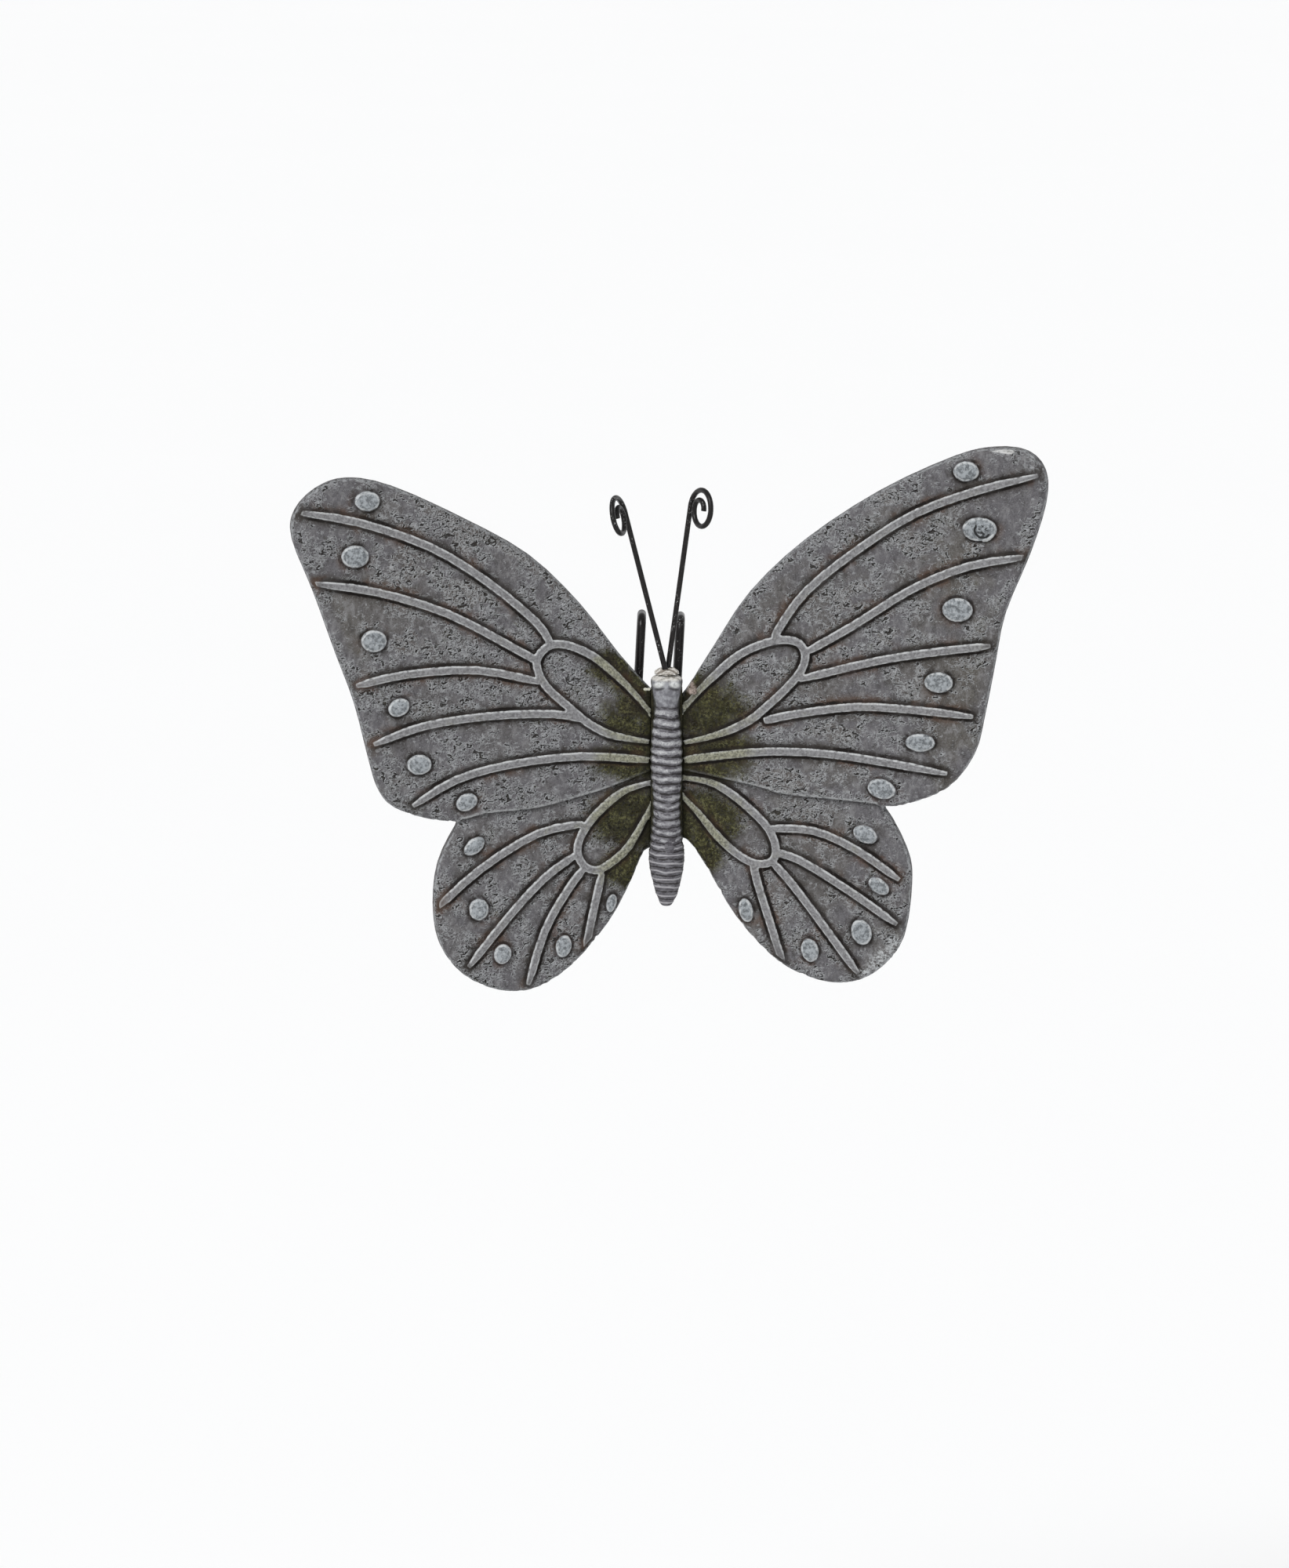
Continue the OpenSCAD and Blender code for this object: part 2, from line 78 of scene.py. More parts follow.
def applyModifier(piece, kind, **settings):
    pick(piece)
    modifier = piece.modifiers.new(kind.title(), kind)
    for key, value in settings.items():
        setattr(modifier, key, value)
    bpy.ops.object.modifier_apply(modifier=modifier.name)


def points(piece):
    co = np.empty(len(piece.data.vertices) * 3)
    piece.data.vertices.foreach_get("co", co)
    return co.reshape(-1, 3)


def setPoints(piece, co):
    piece.data.vertices.foreach_set("co", np.asarray(co, dtype=np.float32).ravel())
    piece.data.update()


def paint(piece, name, values):
    # one number per vertex, which a material reads by name
    layer = piece.data.attributes.new(name, "FLOAT", "POINT")
    layer.data.foreach_set("value", np.asarray(values, dtype=np.float32))


def edgeEnds(piece):
    ends = np.empty(len(piece.data.edges) * 2, dtype=np.int64)
    piece.data.edges.foreach_get("vertices", ends)
    return ends.reshape(-1, 2)


def relaxed(values, ends, rounds, mask):
    # each point moves towards the mean of its neighbours, as far as its mask says
    count = np.bincount(ends.ravel(), minlength=len(values)).astype(float)
    count[count == 0] = 1
    for _ in range(rounds):
        total = np.zeros_like(values)
        for axis in range(values.shape[1]):
            column = values[:, axis]
            total[:, axis] = (np.bincount(ends[:, 0], column[ends[:, 1]], len(values))
                              + np.bincount(ends[:, 1], column[ends[:, 0]], len(values)))
        values = values + (total / count[:, None] - values) * mask[:, None]
    return values


def ease(value, low, high):
    t = np.clip((np.asarray(value, dtype=float) - low) / (high - low), 0, 1)
    return t * t * (3 - 2 * t)


def grain(co, size, seed=0.0):
    # Perlin noise of a chosen size in mm, about -1 to 1
    shift = Vector((seed, seed * 1.7, -seed))
    return np.array([noise.noise(Vector(p) / size + shift) for p in co])


def castFrom(nodeName, name):
    # a stone piece starts as a merged copy of its CAD solid
    piece = bpy.data.objects.new(name, nodes[nodeName].data.copy())
    bpy.context.scene.collection.objects.link(piece)
    piece.data.materials.clear()
    pick(piece)
    bpy.ops.object.mode_set(mode="EDIT")
    bpy.ops.mesh.select_all(action="SELECT")
    bpy.ops.mesh.remove_doubles(threshold=0.001 * mm)
    bpy.ops.object.mode_set(mode="OBJECT")
    return piece


def fitInside(piece, nodeName):
    # carving never leaves the box of the solid that it stands for
    low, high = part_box(nodeName)
    setPoints(piece, np.clip(points(piece), np.array(low), np.array(high)))


def outward(piece):
    pick(piece)
    bpy.ops.object.mode_set(mode="EDIT")
    bpy.ops.mesh.select_all(action="SELECT")
    bpy.ops.mesh.normals_make_consistent(inside=False)
    bpy.ops.object.mode_set(mode="OBJECT")


def placed(piece, nodeName, material):
    piece.data.materials.append(material)
    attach(piece, "root")
    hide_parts(nodeName)
    low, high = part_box(nodeName)
    co = points(piece)
    over = max((np.array(low) - co.min(0)).max(), (co.max(0) - np.array(high)).max()) / mm
    short = max((co.min(0) - np.array(low)).max(), (np.array(high) - co.max(0)).max()) / mm
    faces = sum(len(p.vertices) - 2 for p in piece.data.polygons)
    print(f"{piece.name}: {faces} triangles, {over:.2f} mm over and {short:.2f} mm short of its box")


# materials

class Value:
    # a socket of a material that takes part in sums
    def __init__(self, shader, socket):
        self.shader = shader
        self.socket = socket

    def maths(self, operation, first, second=0.0):
        return self.shader.maths(operation, first, second)

    def __add__(self, other):
        return self.maths("ADD", self, other)

    def __radd__(self, other):
        return self.maths("ADD", other, self)

    def __sub__(self, other):
        return self.maths("SUBTRACT", self, other)

    def __rsub__(self, other):
        return self.maths("SUBTRACT", other, self)

    def __mul__(self, other):
        return self.maths("MULTIPLY", self, other)

    def __rmul__(self, other):
        return self.maths("MULTIPLY", other, self)

    def __abs__(self):
        return self.maths("ABSOLUTE", self)


class Shader:
    def __init__(self, name):
        self.material = bpy.data.materials.new(name)
        self.material.use_nodes = True
        self.tree = self.material.node_tree
        self.tree.nodes.clear()
        self.place = self.node("ShaderNodeTexCoord", output="Object")

    def node(self, kind, settings=None, inputs=None, output=0):
        made = self.tree.nodes.new(kind)
        for key, value in (settings or {}).items():
            setattr(made, key, value)
        for key, value in (inputs or {}).items():
            if isinstance(value, Value):
                self.tree.links.new(value.socket, made.inputs[key])
            elif isinstance(value, tuple) and len(value) == 3 and made.inputs[key].type == "RGBA":
                made.inputs[key].default_value = (*value, 1)
            else:
                made.inputs[key].default_value = value
        return Value(self, made.outputs[output])

    def maths(self, operation, first, second=0.0, clamp=False):
        return self.node("ShaderNodeMath", {"operation": operation, "use_clamp": clamp},
                         {0: first, 1: second})

    def painted(self, name):
        return self.node("ShaderNodeAttribute", {"attribute_name": name}, output="Fac")

    def step(self, value, low, high, start=0.0, end=1.0):
        # a soft step between two values
        return self.node("ShaderNodeMapRange", {"interpolation_type": "SMOOTHSTEP"},
                         {0: value, 1: low, 2: high, 3: start, 4: end})

    def mix(self, share, first, second):
        return self.node("ShaderNodeMix", {"data_type": "RGBA"}, {0: share, 6: first, 7: second}, 2)

    def cloud(self, size, detail=2.0, rough=0.5, twist=0.0, place=None):
        # noise whose patches are about this many mm wide
        return self.node("ShaderNodeTexNoise", None, {
            "Vector": place or self.place, "Scale": 1 / (size * mm), "Detail": detail,
            "Roughness": rough, "Distortion": twist}, "Fac")

    def stretched(self, x, y, z, turn=(0, 0, 0), place=None):
        # a place squeezed along an axis, so that a pattern on it is drawn out
        return self.node("ShaderNodeMapping", None,
                         {"Vector": place or self.place, "Scale": (x, y, z), "Rotation": turn})

    def finish(self, colour, rough, height=None, depth=0.2, coat=0.0, metal=0.0, level=0.4):
        inputs = {"Base Color": colour, "Roughness": rough, "Metallic": metal, "Coat Weight": coat,
                  "Specular IOR Level": level}
        if height is not None:
            inputs["Normal"] = self.node("ShaderNodeBump", None,
                                         {"Strength": 1.0, "Distance": depth * mm, "Height": height})
        surface = self.node("ShaderNodeBsdfPrincipled", None, inputs)
        out = self.tree.nodes.new("ShaderNodeOutputMaterial")
        self.tree.links.new(surface.socket, out.inputs["Surface"])
        return self.material


# cast stone: painted dark grey, its crests rubbed pale and its hollows washed brown, with painted shade and
# highlight at its pits and ridges
stone = {
    "violet": (0.098, 0.094, 0.101),          # the ground, cool and warm
    "umber": (0.088, 0.081, 0.072),
    "blotPale": (0.214, 0.212, 0.216),        # blotches over it
    "blotDark": (0.036, 0.034, 0.033),
    "finePale": (0.242, 0.240, 0.243),        # the finest speckle
    "fineDark": (0.036, 0.033, 0.031),
    "bed": (0.072, 0.058, 0.040),             # brown between deep pits
    # dark wash and painted shade on the pits' floors
    "pitFloor": (0.018, 0.016, 0.014),
    "ridgeShadow": (0.026, 0.023, 0.021),          # painted shadow beside a worm-like ridge
    "pale": (0.36, 0.37, 0.38),
    "bright": (0.60, 0.615, 0.62),
    "wash": (0.029, 0.024, 0.019),
    "rust": (0.074, 0.042, 0.026),
    # near-black: painted shadow and dark wash
    "darkWashAndShade": (0.008, 0.006, 0.005),
    "veinDark": (0.125, 0.123, 0.127),        # a vein's top
    "veinPale": (0.255, 0.255, 0.262),
    "spotDark": (0.115, 0.125, 0.133),        # a spot's face
    "spotPale": (0.305, 0.327, 0.345),
    "spotSpeck": (0.05, 0.05, 0.05),
    "lipPale": (0.40, 0.41, 0.415),           # the forewing's edge
    "rootShadeAndWash": (0.009, 0.009, 0.003),            # painted shade and dark wash beside the body
    "scratch": (0.012, 0.012, 0.012),
    "chipped": (0.50, 0.52, 0.53),
    "facetDark": (0.36, 0.36, 0.35),          # the rubbed facet at the right wing's tip
    "facetPale": (0.56, 0.565, 0.56),
    "facetEdge": (0.72, 0.72, 0.71),
    "smearDark": (0.22, 0.165, 0.14),         # filler smeared on the right wing
    "smearPale": (0.48, 0.40, 0.36),
    "pour": (0.19, 0.188, 0.185),             # the back pad
    "pitSize": 1.5,                           # mm from pit to pit
    "fineSize": 0.42,                         # mm, the finest grain
    "wormSize": 1.6,                          # mm from ridge to ridge
    "toLight": (-0.24 * mm, 0, 0.26 * mm),    # how far off a lit or shaded edge is looked for
    "bump": 0.34,                             # mm
}

moss = {
    "dark": (0.007, 0.006, 0.002),
    "thin": (0.030, 0.029, 0.015),
    "brown": (0.013, 0.009, 0.003),
    "mid": (0.031, 0.029, 0.007),
    "light": (0.135, 0.132, 0.054),
    "onVeinDark": (0.095, 0.094, 0.048),
    "onVeinPale": (0.33, 0.33, 0.225),
}


def stoneSkin(s, pitted):
    # what every stone face shares: its colour, its pits with a painted highlight on the lit lip and painted
    # shadow on the shaded one, and their height
    broad = s.cloud(20, 3, 0.55)
    fine = s.cloud(stone["fineSize"], 3, 0.65)
    zone = s.step(s.cloud(7, 2.5, 0.6) + pitted * 0.16, 0.52, 0.68)
    sink = zone * 0.148 + 0.280
    lightward = s.node("ShaderNodeVectorMath", {"operation": "ADD"}, {0: s.place, 1: stone["toLight"]})

    def sunk(place):
        drawnOut = s.stretched(0.85, 1, 1.25, (0, 0.8, 0), place)
        return s.cloud(stone["pitSize"], 2.6, 0.55, 1.0, drawnOut) - sink

    depth = sunk(s.place)
    pit = s.step(depth, 0.020, -0.050)
    beside = s.step(sunk(lightward), 0.020, -0.050)
    # painted highlight on the lip that faces the light, painted shadow on the edge that faces away
    lip = s.maths("SUBTRACT", beside, pit, True)
    pitShadow = s.maths("SUBTRACT", pit, beside, True)
    rim = s.step(depth, 0.130, 0.060) * (1 - pit)     # the pale edge all round a pit

    def ridge(place):
        line = s.step(abs(s.cloud(stone["wormSize"], 2.5, 0.55, 0.9, place) - 0.5), 0.060, 0.010)
        return line * (zone * 0.9 + 0.1)

    worm = ridge(s.place)
    # painted shadow on the side of each ridge away from the light
    behind = s.maths("SUBTRACT", ridge(lightward), worm, True)
    blot = s.cloud(2.2, 3.5, 0.62, 0.6, s.stretched(1.0, 1, 0.6, (0, 0.7, 0)))
    colour = s.mix(s.step(broad, 0.44, 0.60) * (1.15 - pitted), stone["violet"], stone["umber"])
    colour = s.mix(s.step(blot, 0.48, 0.72) * 0.62, colour, stone["blotPale"])
    colour = s.mix(s.step(blot, 0.48, 0.28) * 0.66, colour, stone["blotDark"])
    colour = s.mix(s.step(fine, 0.52, 0.72) * 0.38, colour, stone["finePale"])
    colour = s.mix(s.step(fine, 0.48, 0.28) * 0.40, colour, stone["fineDark"])
    colour = s.mix(s.step(pitted, 0.95, 1.45) * zone * 0.40, colour, stone["bed"])
    height = fine * 0.20 + blot * 0.40 + lip * 0.20 + rim * 0.20 + worm * 0.20 - pit * 0.90
    return {"colour": colour, "pit": pit, "lip": lip, "pitShadow": pitShadow, "rim": rim, "worm": worm,
            "behind": behind, "fine": fine, "height": height}


def wingStone(name):
    s = Shader(name)
    skin = stoneSkin(s, s.painted("pitted"))
    vein = s.painted("vein")      # mm inside a vein's foot, below zero outside
    spot = s.painted("spot")
    lip = s.painted("lip")        # mm inside the forewing's edge over the hindwing
    shade = s.painted("shade")    # how strongly a vein's side is lined with painted shadow and dark wash
    worn = s.cloud(1.5, 2.5, 0.6)
    drift = s.cloud(6, 3, 0.6)
    stain = s.cloud(13, 2.5, 0.6)

    # a brown wash that gathers beside the veins and round the spots, rusty in places
    colour = skin["colour"]
    soft = s.step(vein, -4.0, 0.2) * s.step(drift, 0.32, 0.56)
    halo = s.step(spot, -3.2, 0.0) * s.step(drift, 0.32, 0.56)
    wash = s.mix(s.step(stain, 0.50, 0.60), stone["wash"], stone["rust"])
    colour = s.mix(soft * 0.66, colour, wash)
    colour = s.mix(halo * 0.64, colour, wash)
    raised = s.step(vein, 0.30, 0.52) * s.painted("whole")
    onSpot = s.step(spot, 0.08, 0.30)
    flat = (1 - raised) * (1 - onSpot)
    calm = s.step(vein, 0.1, -0.9) * s.step(spot, 0.1, -0.8)
    # painted shadow beside the ridges
    colour = s.mix(skin["behind"] * calm * 0.65, colour, stone["ridgeShadow"])
    colour = s.mix(skin["worm"] * calm * 0.60, colour, stone["pale"])
    colour = s.mix(skin["rim"] * calm * 0.42, colour, stone["pale"])
    # dark wash and painted shade on the pits' floors
    colour = s.mix(skin["pit"] * calm * 0.88, colour, stone["pitFloor"])
    # painted shadow on each pit's shaded edge, painted highlight on its lit lip
    colour = s.mix(skin["pitShadow"] * calm * 0.80, colour, stone["darkWashAndShade"])
    colour = s.mix(skin["lip"] * calm * 0.75, colour, stone["pale"])

    # moss over the wings near the body: near-black, brown, olive and yellow-green
    speck = s.cloud(0.75, 3, 0.7)
    sprig = s.cloud(0.85, 3.5, 0.75, 0.3)
    spread = s.painted("moss") + s.cloud(7, 3.5, 0.72, 0.4) * 1.5 + speck * 0.6 - 1.05
    growth = s.step(spread, 0.02, 0.95)
    thin = s.mix(s.step(spread, 0.35, 0.95), moss["thin"], moss["dark"])
    green = s.mix(s.step(speck, 0.38, 0.60), thin, moss["mid"])
    green = s.mix(s.step(drift, 0.47, 0.60) * 0.65, green, moss["brown"])
    tuft = s.step(sprig, 0.45, 0.64) * s.step(s.cloud(4.5, 2.5, 0.6), 0.38, 0.58)
    green = s.mix(tuft * 0.70, green, moss["light"])
    colour = s.mix(growth * 0.95, colour, green)

    # dark wash along each vein and spot, and an ink line at their feet that is painted shadow as well as
    # wash
    ragged = worn * 0.7 - 0.35
    veinLine = s.step(vein + ragged, -0.95, -0.35) * (1 - s.step(vein, 0.24, 0.38)) * shade
    spotLine = s.step(spot + ragged, -1.3, -0.1) * (1 - s.step(spot, 0.02, 0.20))
    spotLine = spotLine * (s.step(drift, 0.38, 0.56) * 0.6 + 0.3)
    colour = s.mix(s.step(vein + ragged, -2.0, -0.4) * (1 - raised) * 0.45, colour, wash)
    colour = s.mix(veinLine * s.step(worn, 0.20, 0.44), colour, stone["darkWashAndShade"])
    colour = s.mix(spotLine * s.step(worn, 0.26, 0.48) * 0.95, colour, stone["darkWashAndShade"])

    # veins: a speckled grey top between two bright edges
    speckle = s.cloud(0.9, 3.5, 0.68)
    top = s.mix(s.step(speckle, 0.32, 0.66), stone["veinDark"], stone["veinPale"])
    colour = s.mix(raised * 0.96, colour, top)
    band = s.step(vein + (worn - 0.5) * 0.35, 0.28, 0.46)
    band = band * (1 - s.step(vein + (speckle - 0.5) * 0.6, 0.56, 1.00))
    colour = s.mix(band * s.painted("whole") * s.step(worn, 0.30, 0.60) * 0.74, colour, stone["bright"])

    # spots: pale, mottled, with a bright edge
    mottle = s.cloud(1.1, 3, 0.65)
    face = s.mix(s.step(mottle, 0.36, 0.62), stone["spotDark"], stone["spotPale"])
    face = s.mix(s.step(speckle, 0.56, 0.74) * 0.5, face, stone["bright"])
    face = s.mix(s.step(speckle, 0.38, 0.28) * 0.8, face, stone["spotSpeck"])
    colour = s.mix(onSpot * 0.95, colour, face)
    ring = s.step(spot, 0.15, 0.40) * (1 - s.step(spot + (speckle - 0.5) * 0.6, 0.60, 1.10))
    colour = s.mix(ring * s.step(worn, 0.34, 0.60) * 0.70, colour, stone["bright"])
    tinge = s.mix(s.step(speck, 0.38, 0.62), moss["onVeinDark"], moss["onVeinPale"])
    colour = s.mix(growth * raised * 0.66, colour, tinge)

    # scratches, chips and smears
    mark = s.painted("mark")      # a scratch: 1 dark, -1 bright
    colour = s.mix(s.step(mark, 0.1, 0.6) * 0.95, colour, stone["scratch"])
    colour = s.mix(s.step(mark, -0.2, -0.9) * 0.8, colour, stone["bright"])
    facet = s.painted("facet")    # mm over the lower edge of the rubbed facet
    bevel = s.mix(s.step(worn, 0.4, 0.6), stone["facetDark"], stone["facetPale"])
    bevelEdge = s.step(facet, -0.35, 0.0) * (1 - s.step(facet, 0.10, 0.50))
    colour = s.mix(s.step(facet, 0, 0.3) * 0.85, colour, bevel)
    colour = s.mix(bevelEdge * 0.6, colour, stone["facetEdge"])
    paste = s.mix(s.step(speckle, 0.36, 0.6), stone["smearDark"], stone["smearPale"])
    colour = s.mix(s.painted("smear") * s.step(worn, 0.30, 0.50), colour, paste)

    # the rim's worn edge, the forewing's lip and the shadow under it
    colour = s.mix(s.painted("edge") * s.step(worn, 0.36, 0.58) * 0.70, colour, stone["pale"])
    colour = s.mix(s.painted("chip") * s.step(speckle, 0.42, 0.62) * 0.80, colour, stone["chipped"])
    lipEdge = s.step(lip, -0.15, 0.15) * (1 - s.step(lip + (worn - 0.5) * 1.2, 0.30, 1.10))
    lipEdge = lipEdge * s.step(worn, 0.26, 0.60) * (1 - growth * 0.8)
    colour = s.mix(lipEdge * 0.85, colour, stone["lipPale"])
    under = s.step(lip, -2.4, -0.2) * (1 - s.step(lip, -0.25, -0.02))
    colour = s.mix(under * 0.55, colour, stone["darkWashAndShade"])
    # painted shade and dark wash beside the body, less on the veins
    colour = s.mix(s.painted("rootShadeAndWash") * (1 - raised * 0.75) * 0.80, colour, stone["rootShadeAndWash"])

    rough = 0.80 - skin["lip"] * 0.15
    relief = skin["height"] * flat * calm + (1 - calm) * skin["fine"] * 0.3
    relief = relief + (raised + onSpot) * speckle * 0.30 + growth * sprig * 0.5
    return s.finish(colour, rough, relief, stone["bump"], level=0.16)


silver = {
    "dark": (0.062, 0.058, 0.066),
    "grey": (0.150, 0.147, 0.160),
    "crown": (0.27, 0.27, 0.285),             # rubbed on each ring
    "crest": (0.50, 0.505, 0.51),
    "line": (0.40, 0.39, 0.41),               # thin lines on the tail's rings
    "groove": (0.018, 0.016, 0.016),
    "faceDark": (0.155, 0.155, 0.172),
    "facePale": (0.30, 0.305, 0.325),
    # painted shade on the body's sides, olive-tinted
    "flank": (0.030, 0.030, 0.021),
    "chalkDark": (0.24, 0.225, 0.20),         # putty smeared over the brow
    "chalkPale": (0.60, 0.585, 0.55),
    "under": (0.045, 0.042, 0.044),           # painted shade under the lids
    "lid": (0.60, 0.61, 0.60),
}


def bodyStone(name):
    s = Shader(name)
    groove = s.painted("groove")      # 1 in the groove between two rings, -1 on the crown
    broad = s.painted("broad")        # how much of a ring is pale: most near the head, least at the tail
    flank = s.painted("flank")        # 1 at the body's sides, where painted shade darkens them
    streak = s.cloud(1.5, 3.5, 0.66, 0.4, s.stretched(0.55, 1, 1.5))
    worn = s.cloud(1.8, 3, 0.6)
    grit = s.cloud(0.6, 2.5, 0.6)
    colour = s.mix(s.step(streak, 0.36, 0.62), silver["dark"], silver["grey"])
    crown = broad - groove * 0.65 + (streak - 0.5) * 2.6 + (worn - 0.5) * 0.9
    colour = s.mix(s.step(crown, 0.20, 0.50) * 0.80, colour, silver["crown"])
    colour = s.mix(s.step(crown, 0.60, 1.10) * s.step(grit, 0.34, 0.62) * 0.85, colour, silver["crest"])
    line = s.step(groove + (streak - 0.5) * 0.8, -0.72, -0.95) * s.step(broad, -0.05, -0.25)
    colour = s.mix(line * 0.75, colour, silver["line"])
    low = s.step(groove + (worn - 0.5) * 0.9, 0.72, 0.98)
    colour = s.mix(low * 0.88, colour, silver["groove"])
    bare = s.mix(s.step(worn, 0.36, 0.62), silver["faceDark"], silver["facePale"])
    colour = s.mix(s.painted("face") * 0.85, colour, bare)
    # painted shade, olive-tinted, where the body's sides turn away
    side = s.step(flank + (worn - 0.5) * 0.8, 0.25, 0.95)
    colour = s.mix(side * 0.80, colour, silver["flank"])
    # dark grime and painted shade on the body's back flanks, where the wings meet it
    colour = s.mix(s.painted("jointGrimeAndShade") * 0.95, colour, moss["dark"])
    chalk = s.mix(s.step(worn, 0.34, 0.58), silver["chalkDark"], silver["chalkPale"])
    colour = s.mix(s.painted("pale") * s.step(streak, 0.24, 0.44), colour, chalk)
    # painted shade under the lids
    colour = s.mix(s.painted("under") * 0.75, colour, silver["under"])
    colour = s.mix(s.painted("lid") * s.step(grit, 0.26, 0.50), colour, silver["lid"])
    return s.finish(colour, 0.68, streak * 0.7 + grit * 0.4, 0.22, level=0.22)


def padStone(name):
    s = Shader(name)
    skin = stoneSkin(s, 0.5)
    smear = s.cloud(5, 3, 0.6, 0.6)
    colour = s.mix(s.step(smear, 0.35, 0.65), skin["colour"], stone["pour"])
    # dark wash and painted shade in the pits
    colour = s.mix(skin["pit"] * 0.8, colour, stone["darkWashAndShade"])
    return s.finish(colour, 0.88, skin["height"] + smear * 0.6, 0.35)


def blackWire(name):
    s = Shader(name)
    flake = s.cloud(0.5, 3, 0.7)
    run = s.cloud(5, 2, 0.5)
    # pale scuffs and painted glints on the lacquer
    scuffAndGlint = s.step(flake, 0.58, 0.66) * s.step(run, 0.54, 0.64)
    colour = s.mix(s.step(flake, 0.50, 0.70), (0.005, 0.004, 0.004), (0.020, 0.016, 0.015))
    colour = s.mix(scuffAndGlint * 0.9, colour, (0.42, 0.42, 0.42))
    return s.finish(colour, s.step(run, 0.3, 0.7, 0.26, 0.42), flake, 0.04, coat=scuffAndGlint * 0.6, level=0.26)


def foldedPutty(name):
    s = Shader(name)
    lump = s.cloud(1.0, 3, 0.6, 0.3)
    colour = s.mix(s.step(lump, 0.38, 0.60), (0.34, 0.315, 0.28), (0.66, 0.64, 0.60))
    colour = s.mix(s.step(s.painted("fold"), 0.35, 0.85) * 0.8, colour, (0.13, 0.105, 0.080))
    return s.finish(colour, 0.6, lump, 0.12)


def plainMix(name, dark, light, size, rough, bump):
    s = Shader(name)
    lump = s.cloud(size, 3, 0.6, 0.3)
    fine = s.cloud(size * 0.25, 3, 0.65)
    colour = s.mix(s.step(lump * 0.6 + fine * 0.4, 0.38, 0.62), dark, light)
    return s.finish(colour, rough, lump * 0.6 + fine * 0.4, bump)


def steelRod(name):
    s = Shader(name)
    line = s.cloud(0.5, 3, 0.6, 0.0, s.stretched(0.06, 1, 1))
    rust = s.step(s.cloud(2.5, 3, 0.65), 0.55, 0.68)
    colour = s.mix(rust * 0.7, (0.52, 0.52, 0.53), (0.16, 0.07, 0.03))
    return s.finish(colour, 0.32 + rust * 0.4, line, 0.03, metal=1 - rust)


wingMaterial = wingStone("washedStone")
bodyMaterial = bodyStone("silveredStone")
padMaterial = padStone("pouredStone")
wireMaterial = blackWire("blackLacquer")
puttyMaterial = foldedPutty("paintedPutty")
glueMaterial = plainMix("driedGlue", (0.42, 0.42, 0.33), (0.72, 0.72, 0.64), 0.8, 0.35, 0.05)
fillerMaterial = plainMix("pinkFiller", (0.13, 0.10, 0.085), (0.36, 0.295, 0.26), 0.9, 0.7, 0.12)
mortarMaterial = plainMix("mossyMortar", (0.012, 0.011, 0.004), (0.040, 0.036, 0.016), 1.2, 0.9, 0.2)
rodMaterial = steelRod("tieRod")
print("materials made")


# wings

wing = {
    "voxel": 0.428,       # mm between points of the carved face
    "thick": 7.2,         # hindwing's face over its back
    "lip": 0.9,           # forewing's face over the hindwing's
    "veinSteps": (0.6, 1.2),      # the solid's steps over its face
    "spotSteps": (0.8, 1.3),
    "veinHigh": 1.16,     # the carved relief over the face
    "spotHigh": 1.24,
    "rough": 0.20,        # depth of the wrinkles
    "trench": 0.14,       # depth of the hollow beside each vein and spot
    "nibs": 0.62,         # how far the rim's knobs draw in
    "backShare": 0.08,    # share of the faces kept on the plain back
    "pitted": {-1: 0.85, 1: 0.6},                     # left and right wing
    "lined": {-1: (0.85, 0.62), 1: (0.95, 0.68)},     # painted shadow and dark wash under and over the veins
    # beds of deep pits on each wing, as (across, up, half width, half height) in mm
    "beds": {-1: ((84, 72, 12, 8), (66, 63, 10, 8), (82, 47, 11, 5), (66, 82, 7, 8)),
             1: ((78, 80, 9, 7), (60, 61, 9, 8), (72, 49, 6, 4), (72, 94, 5, 4), (56, 18, 13, 5),
                 (40, 1, 18, 6), (44, -11, 9, 5))},
    # patches of moss on each wing, as (across, up, half width, half height) in mm
    "moss": {-1: ((10, 32, 10, 6), (19, 38, 8, 6), (10, 22, 13, 10), (9, 8, 17, 8), (11, -11, 16, 12),
                  (14, -27, 9, 8)),
             1: ((7, 32, 7, 6), (12, 25, 16, 11), (11, 7, 18, 8), (18, 13, 13, 5), (10, -12, 17, 12),
                 (11, -24, 9, 8))},
}

# what only the right wing has, in mm: a curl scratched into one spot, a rubbed facet, a smear of filler
curl = {"centre": (101.2, 83.8), "radius": 2.45, "from": 2.4, "to": 5.8, "width": 0.26, "depth": 0.25,
        "tailFrom": 4.7, "tailTo": 5.95, "tailRadius": 3.5}
facet = {"from": (96.0, 109.0), "to": (114.0, 107.0), "bow": 0.5, "depth": 0.4}
smear = {"centre": (8.0, 31.6), "reach": 2.6}
# and chips, each as (across, up, reach, strength)
chips = ((70.5, -56.0, 7.0, 1), (66.0, -60.5, 4.0, 1), (74.5, -50.0, 3.5, 1), (115.5, 104.7, 3.4, 0.4),
         (108.5, 104.0, 2.4, 0.35))


def toWing(co, side):
    # metres in the row frame to the wing's own frame in mm: across, up, and out of its back
    across = (co[:, 0] / mm - casting["shift"]) * side - casting["rootX"]
    out = -(co[:, 1] / mm + casting["backY"])
    c, s = math.cos(casting["sweep"]), math.sin(casting["sweep"])
    return np.stack([casting["rootX"] + across * c + out * s, co[:, 2] / mm + casting["datum"],
                     out * c - across * s], axis=1)


def fromWing(co, side):
    c, s = math.cos(casting["sweep"]), math.sin(casting["sweep"])
    u = co[:, 0] - casting["rootX"]
    x = (casting["rootX"] + u * c - co[:, 2] * s) * side + casting["shift"]
    y = -casting["backY"] - u * s - co[:, 2] * c
    return np.stack([x, y, co[:, 1] - casting["datum"]], axis=1) * mm


